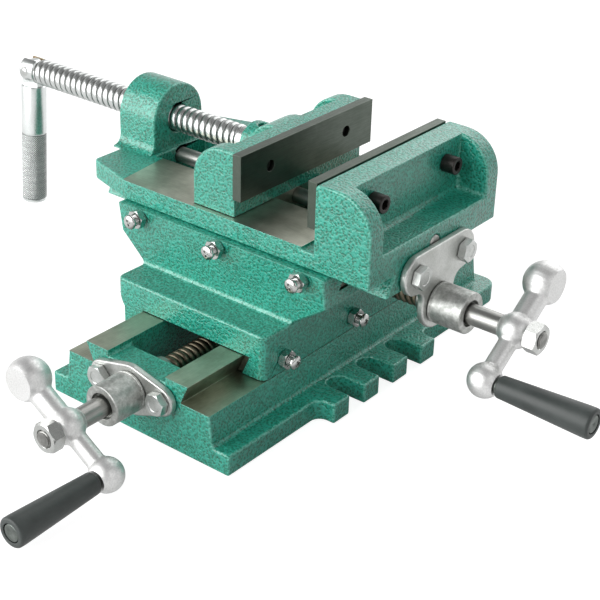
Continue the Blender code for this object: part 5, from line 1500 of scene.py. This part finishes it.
def gib_fasteners(which, outward):
    names = {kind: [f"{which}_gib_{kind}_{index}" for index in (1, 2, 3)] for kind in ("screw", "nut")}
    place = centre_of(names["nut"][0])
    turn = frame_at(place, outward)
    seat, crown = span(names["nut"][0], place, outward)
    _, top = span(names["screw"][0], place, outward)
    neck = top - GIB_HEAD_HEIGHT
    head = pan_head("head", GIB_HEAD_RADIUS, neck, GIB_HEAD_HEIGHT, turn)
    thread = grown("neck", THREAD, frame_at(place + outward * (seat + 0.001), outward), length=neck - seat,
                   pitch=0.0008, crest=GIB_SCREW_RADIUS, root=GIB_SCREW_RADIUS - 0.0005, fullness=1.0,
                   run_out=0.0004, rows=6, sides=32)
    screw = join("gib_screw", head, thread)
    fastener_row(f"{which}_gib_screws", screw, names["screw"], CHROME, "saddle")
    nut = hexagon("gib_nut", GIB_NUT_CORNER, seat, crown, turn, True, GIB_SCREW_RADIUS)
    fastener_row(f"{which}_gib_nuts", nut, names["nut"], CHROME, "saddle")


gib_fasteners("lower", Vector((1, 0, 0)))
gib_fasteners("upper", Vector((0, -1, 0)))

# %% Fit the bracket bolts, the crank nuts and the socket screws
HEAD_CORNER = 0.0058
CRANK_NUT_CORNER = 0.0075


def bracket_bolts(which, body):
    outward = axis_of(f"{which}_crank_turn")[1]
    nodes = [f"{which}_bracket_bolt_{side}" for side in ("left", "right")]
    place = centre_of(nodes[0])
    _, top = span(nodes[0], place, outward)
    low = top - 0.0038
    head = hexagon("bolt_head", HEAD_CORNER, low, top, frame_at(place, outward))
    dish = [(0, top - 0.0003), (0.0030, top - 0.0003), (0.0034, top + 0.0001), (0, top + 0.0001)]
    combine(head, as_object(lathe(dish, frame_at(place, outward), 40), "dish"), "DIFFERENCE")
    fastener_row(f"{which}_bracket_bolts", head, nodes, ZINC_DULL, body)


def crank_nut(which):
    hub, outward = axis_of(f"{which}_crank_turn")
    low, high = span(f"{which}_crank_nut", hub, outward)
    nut = hexagon(f"{which}_stud_nut", CRANK_NUT_CORNER, low, high, frame_at(hub, outward), True, STUD_RADIUS)
    finish(nut, CHROME, f"{which}_crank", [f"{which}_crank_nut"], math.radians(30))


def plate_screws(which, body, outward):
    nodes = [f"{which}_plate_screw_{side}" for side in ("left", "right")]
    place = centre_of(nodes[0])
    tip, top = span(nodes[0], place, outward)
    turn = frame_at(place, outward)
    head = socket_head("cap", 0.0043, top - 0.0070, top, 0.0025, 0.0032, turn)
    shank = [(0, top - 0.0065), (0.0024, top - 0.0065), (0.0024, tip + 0.0003), (0.0020, tip), (0, tip)]
    fastener_row(f"{which}_socket_screws", join("socket_screw", head, as_object(lathe(shank, turn, 24), "shank")),
                 nodes, BLACK_OXIDE, body)


for which, body in (("lower", "base"), ("upper", "vise")):
    bracket_bolts(which, body)
    crank_nut(which)
plate_screws("fixed", "vise", Vector((1, 0, 0)))
plate_screws("moving", "jaw", Vector((-1, 0, 0)))

# %% [markdown]
# ## Jaw plates and the guide rod
# The plates are hardened and ground: flat, dark and sharp, with a hairline of light along each edge, and the rims of
# their holes are broken by the same small round. The rod beside the screw is drawn steel with a chamfer at each end.

# %% Soften the plates and turn the rod
PLATE_EDGE = 0.00022


def jaw_plate(which, body):
    return softened(f"{which}_plate", f"{which}_jaw_plate", body, (GROUND_WITH_GREEN_REFLECTION,), lambda edge: PLATE_EDGE)


def guide_rod():
    low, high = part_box("guide_rod")
    middle = (low + high) / 2
    radius = (high.z - low.z) / 2
    half = (high.x - low.x) / 2
    outline = [(0, -half), (radius - 0.0006, -half), (radius, -half + 0.0006), (radius, half - 0.0006),
               (radius - 0.0006, half), (0.0010, half), (0, half - 0.0008)]
    rod = as_object(lathe(outline, frame_at(middle, (1, 0, 0)), 48), "guide_bar")
    return finish(rod, ROD_STEEL, "vise", ["guide_rod"])


jaw_plate("fixed", "vise")
jaw_plate("moving", "jaw")
guide_rod()

# %% [markdown]
# ## What stays hidden
# The gibs, the bronze nuts and their screws are seen only at their ends, so their solids
# stay as they are and take a finish that fits: a sliding strip, cast bronze, black screws.

# %% Give the remaining solids their finish
HIDDEN = {"lower_gib": GIB, "upper_gib": GIB, "lower_nut": BRONZE, "upper_nut": BRONZE,
          "lower_nut_screw": BLACK_OXIDE, "upper_nut_screw": BLACK_OXIDE, "jaw_set_screw": BLACK_OXIDE,
          "lower_dial_set_screw": CAST_ALUMINIUM_WITH_SHADE, "upper_dial_set_screw": CAST_ALUMINIUM_WITH_SHADE}
for name, material in HIDDEN.items():
    frame["nodes"][name].data.materials.clear()
    frame["nodes"][name].data.materials.append(material)
plain_nodes = [name for name, solid in frame["nodes"].items() if not solid.hide_render]
print(f"{len(plain_nodes)} solids stay: {sorted(plain_nodes)}")
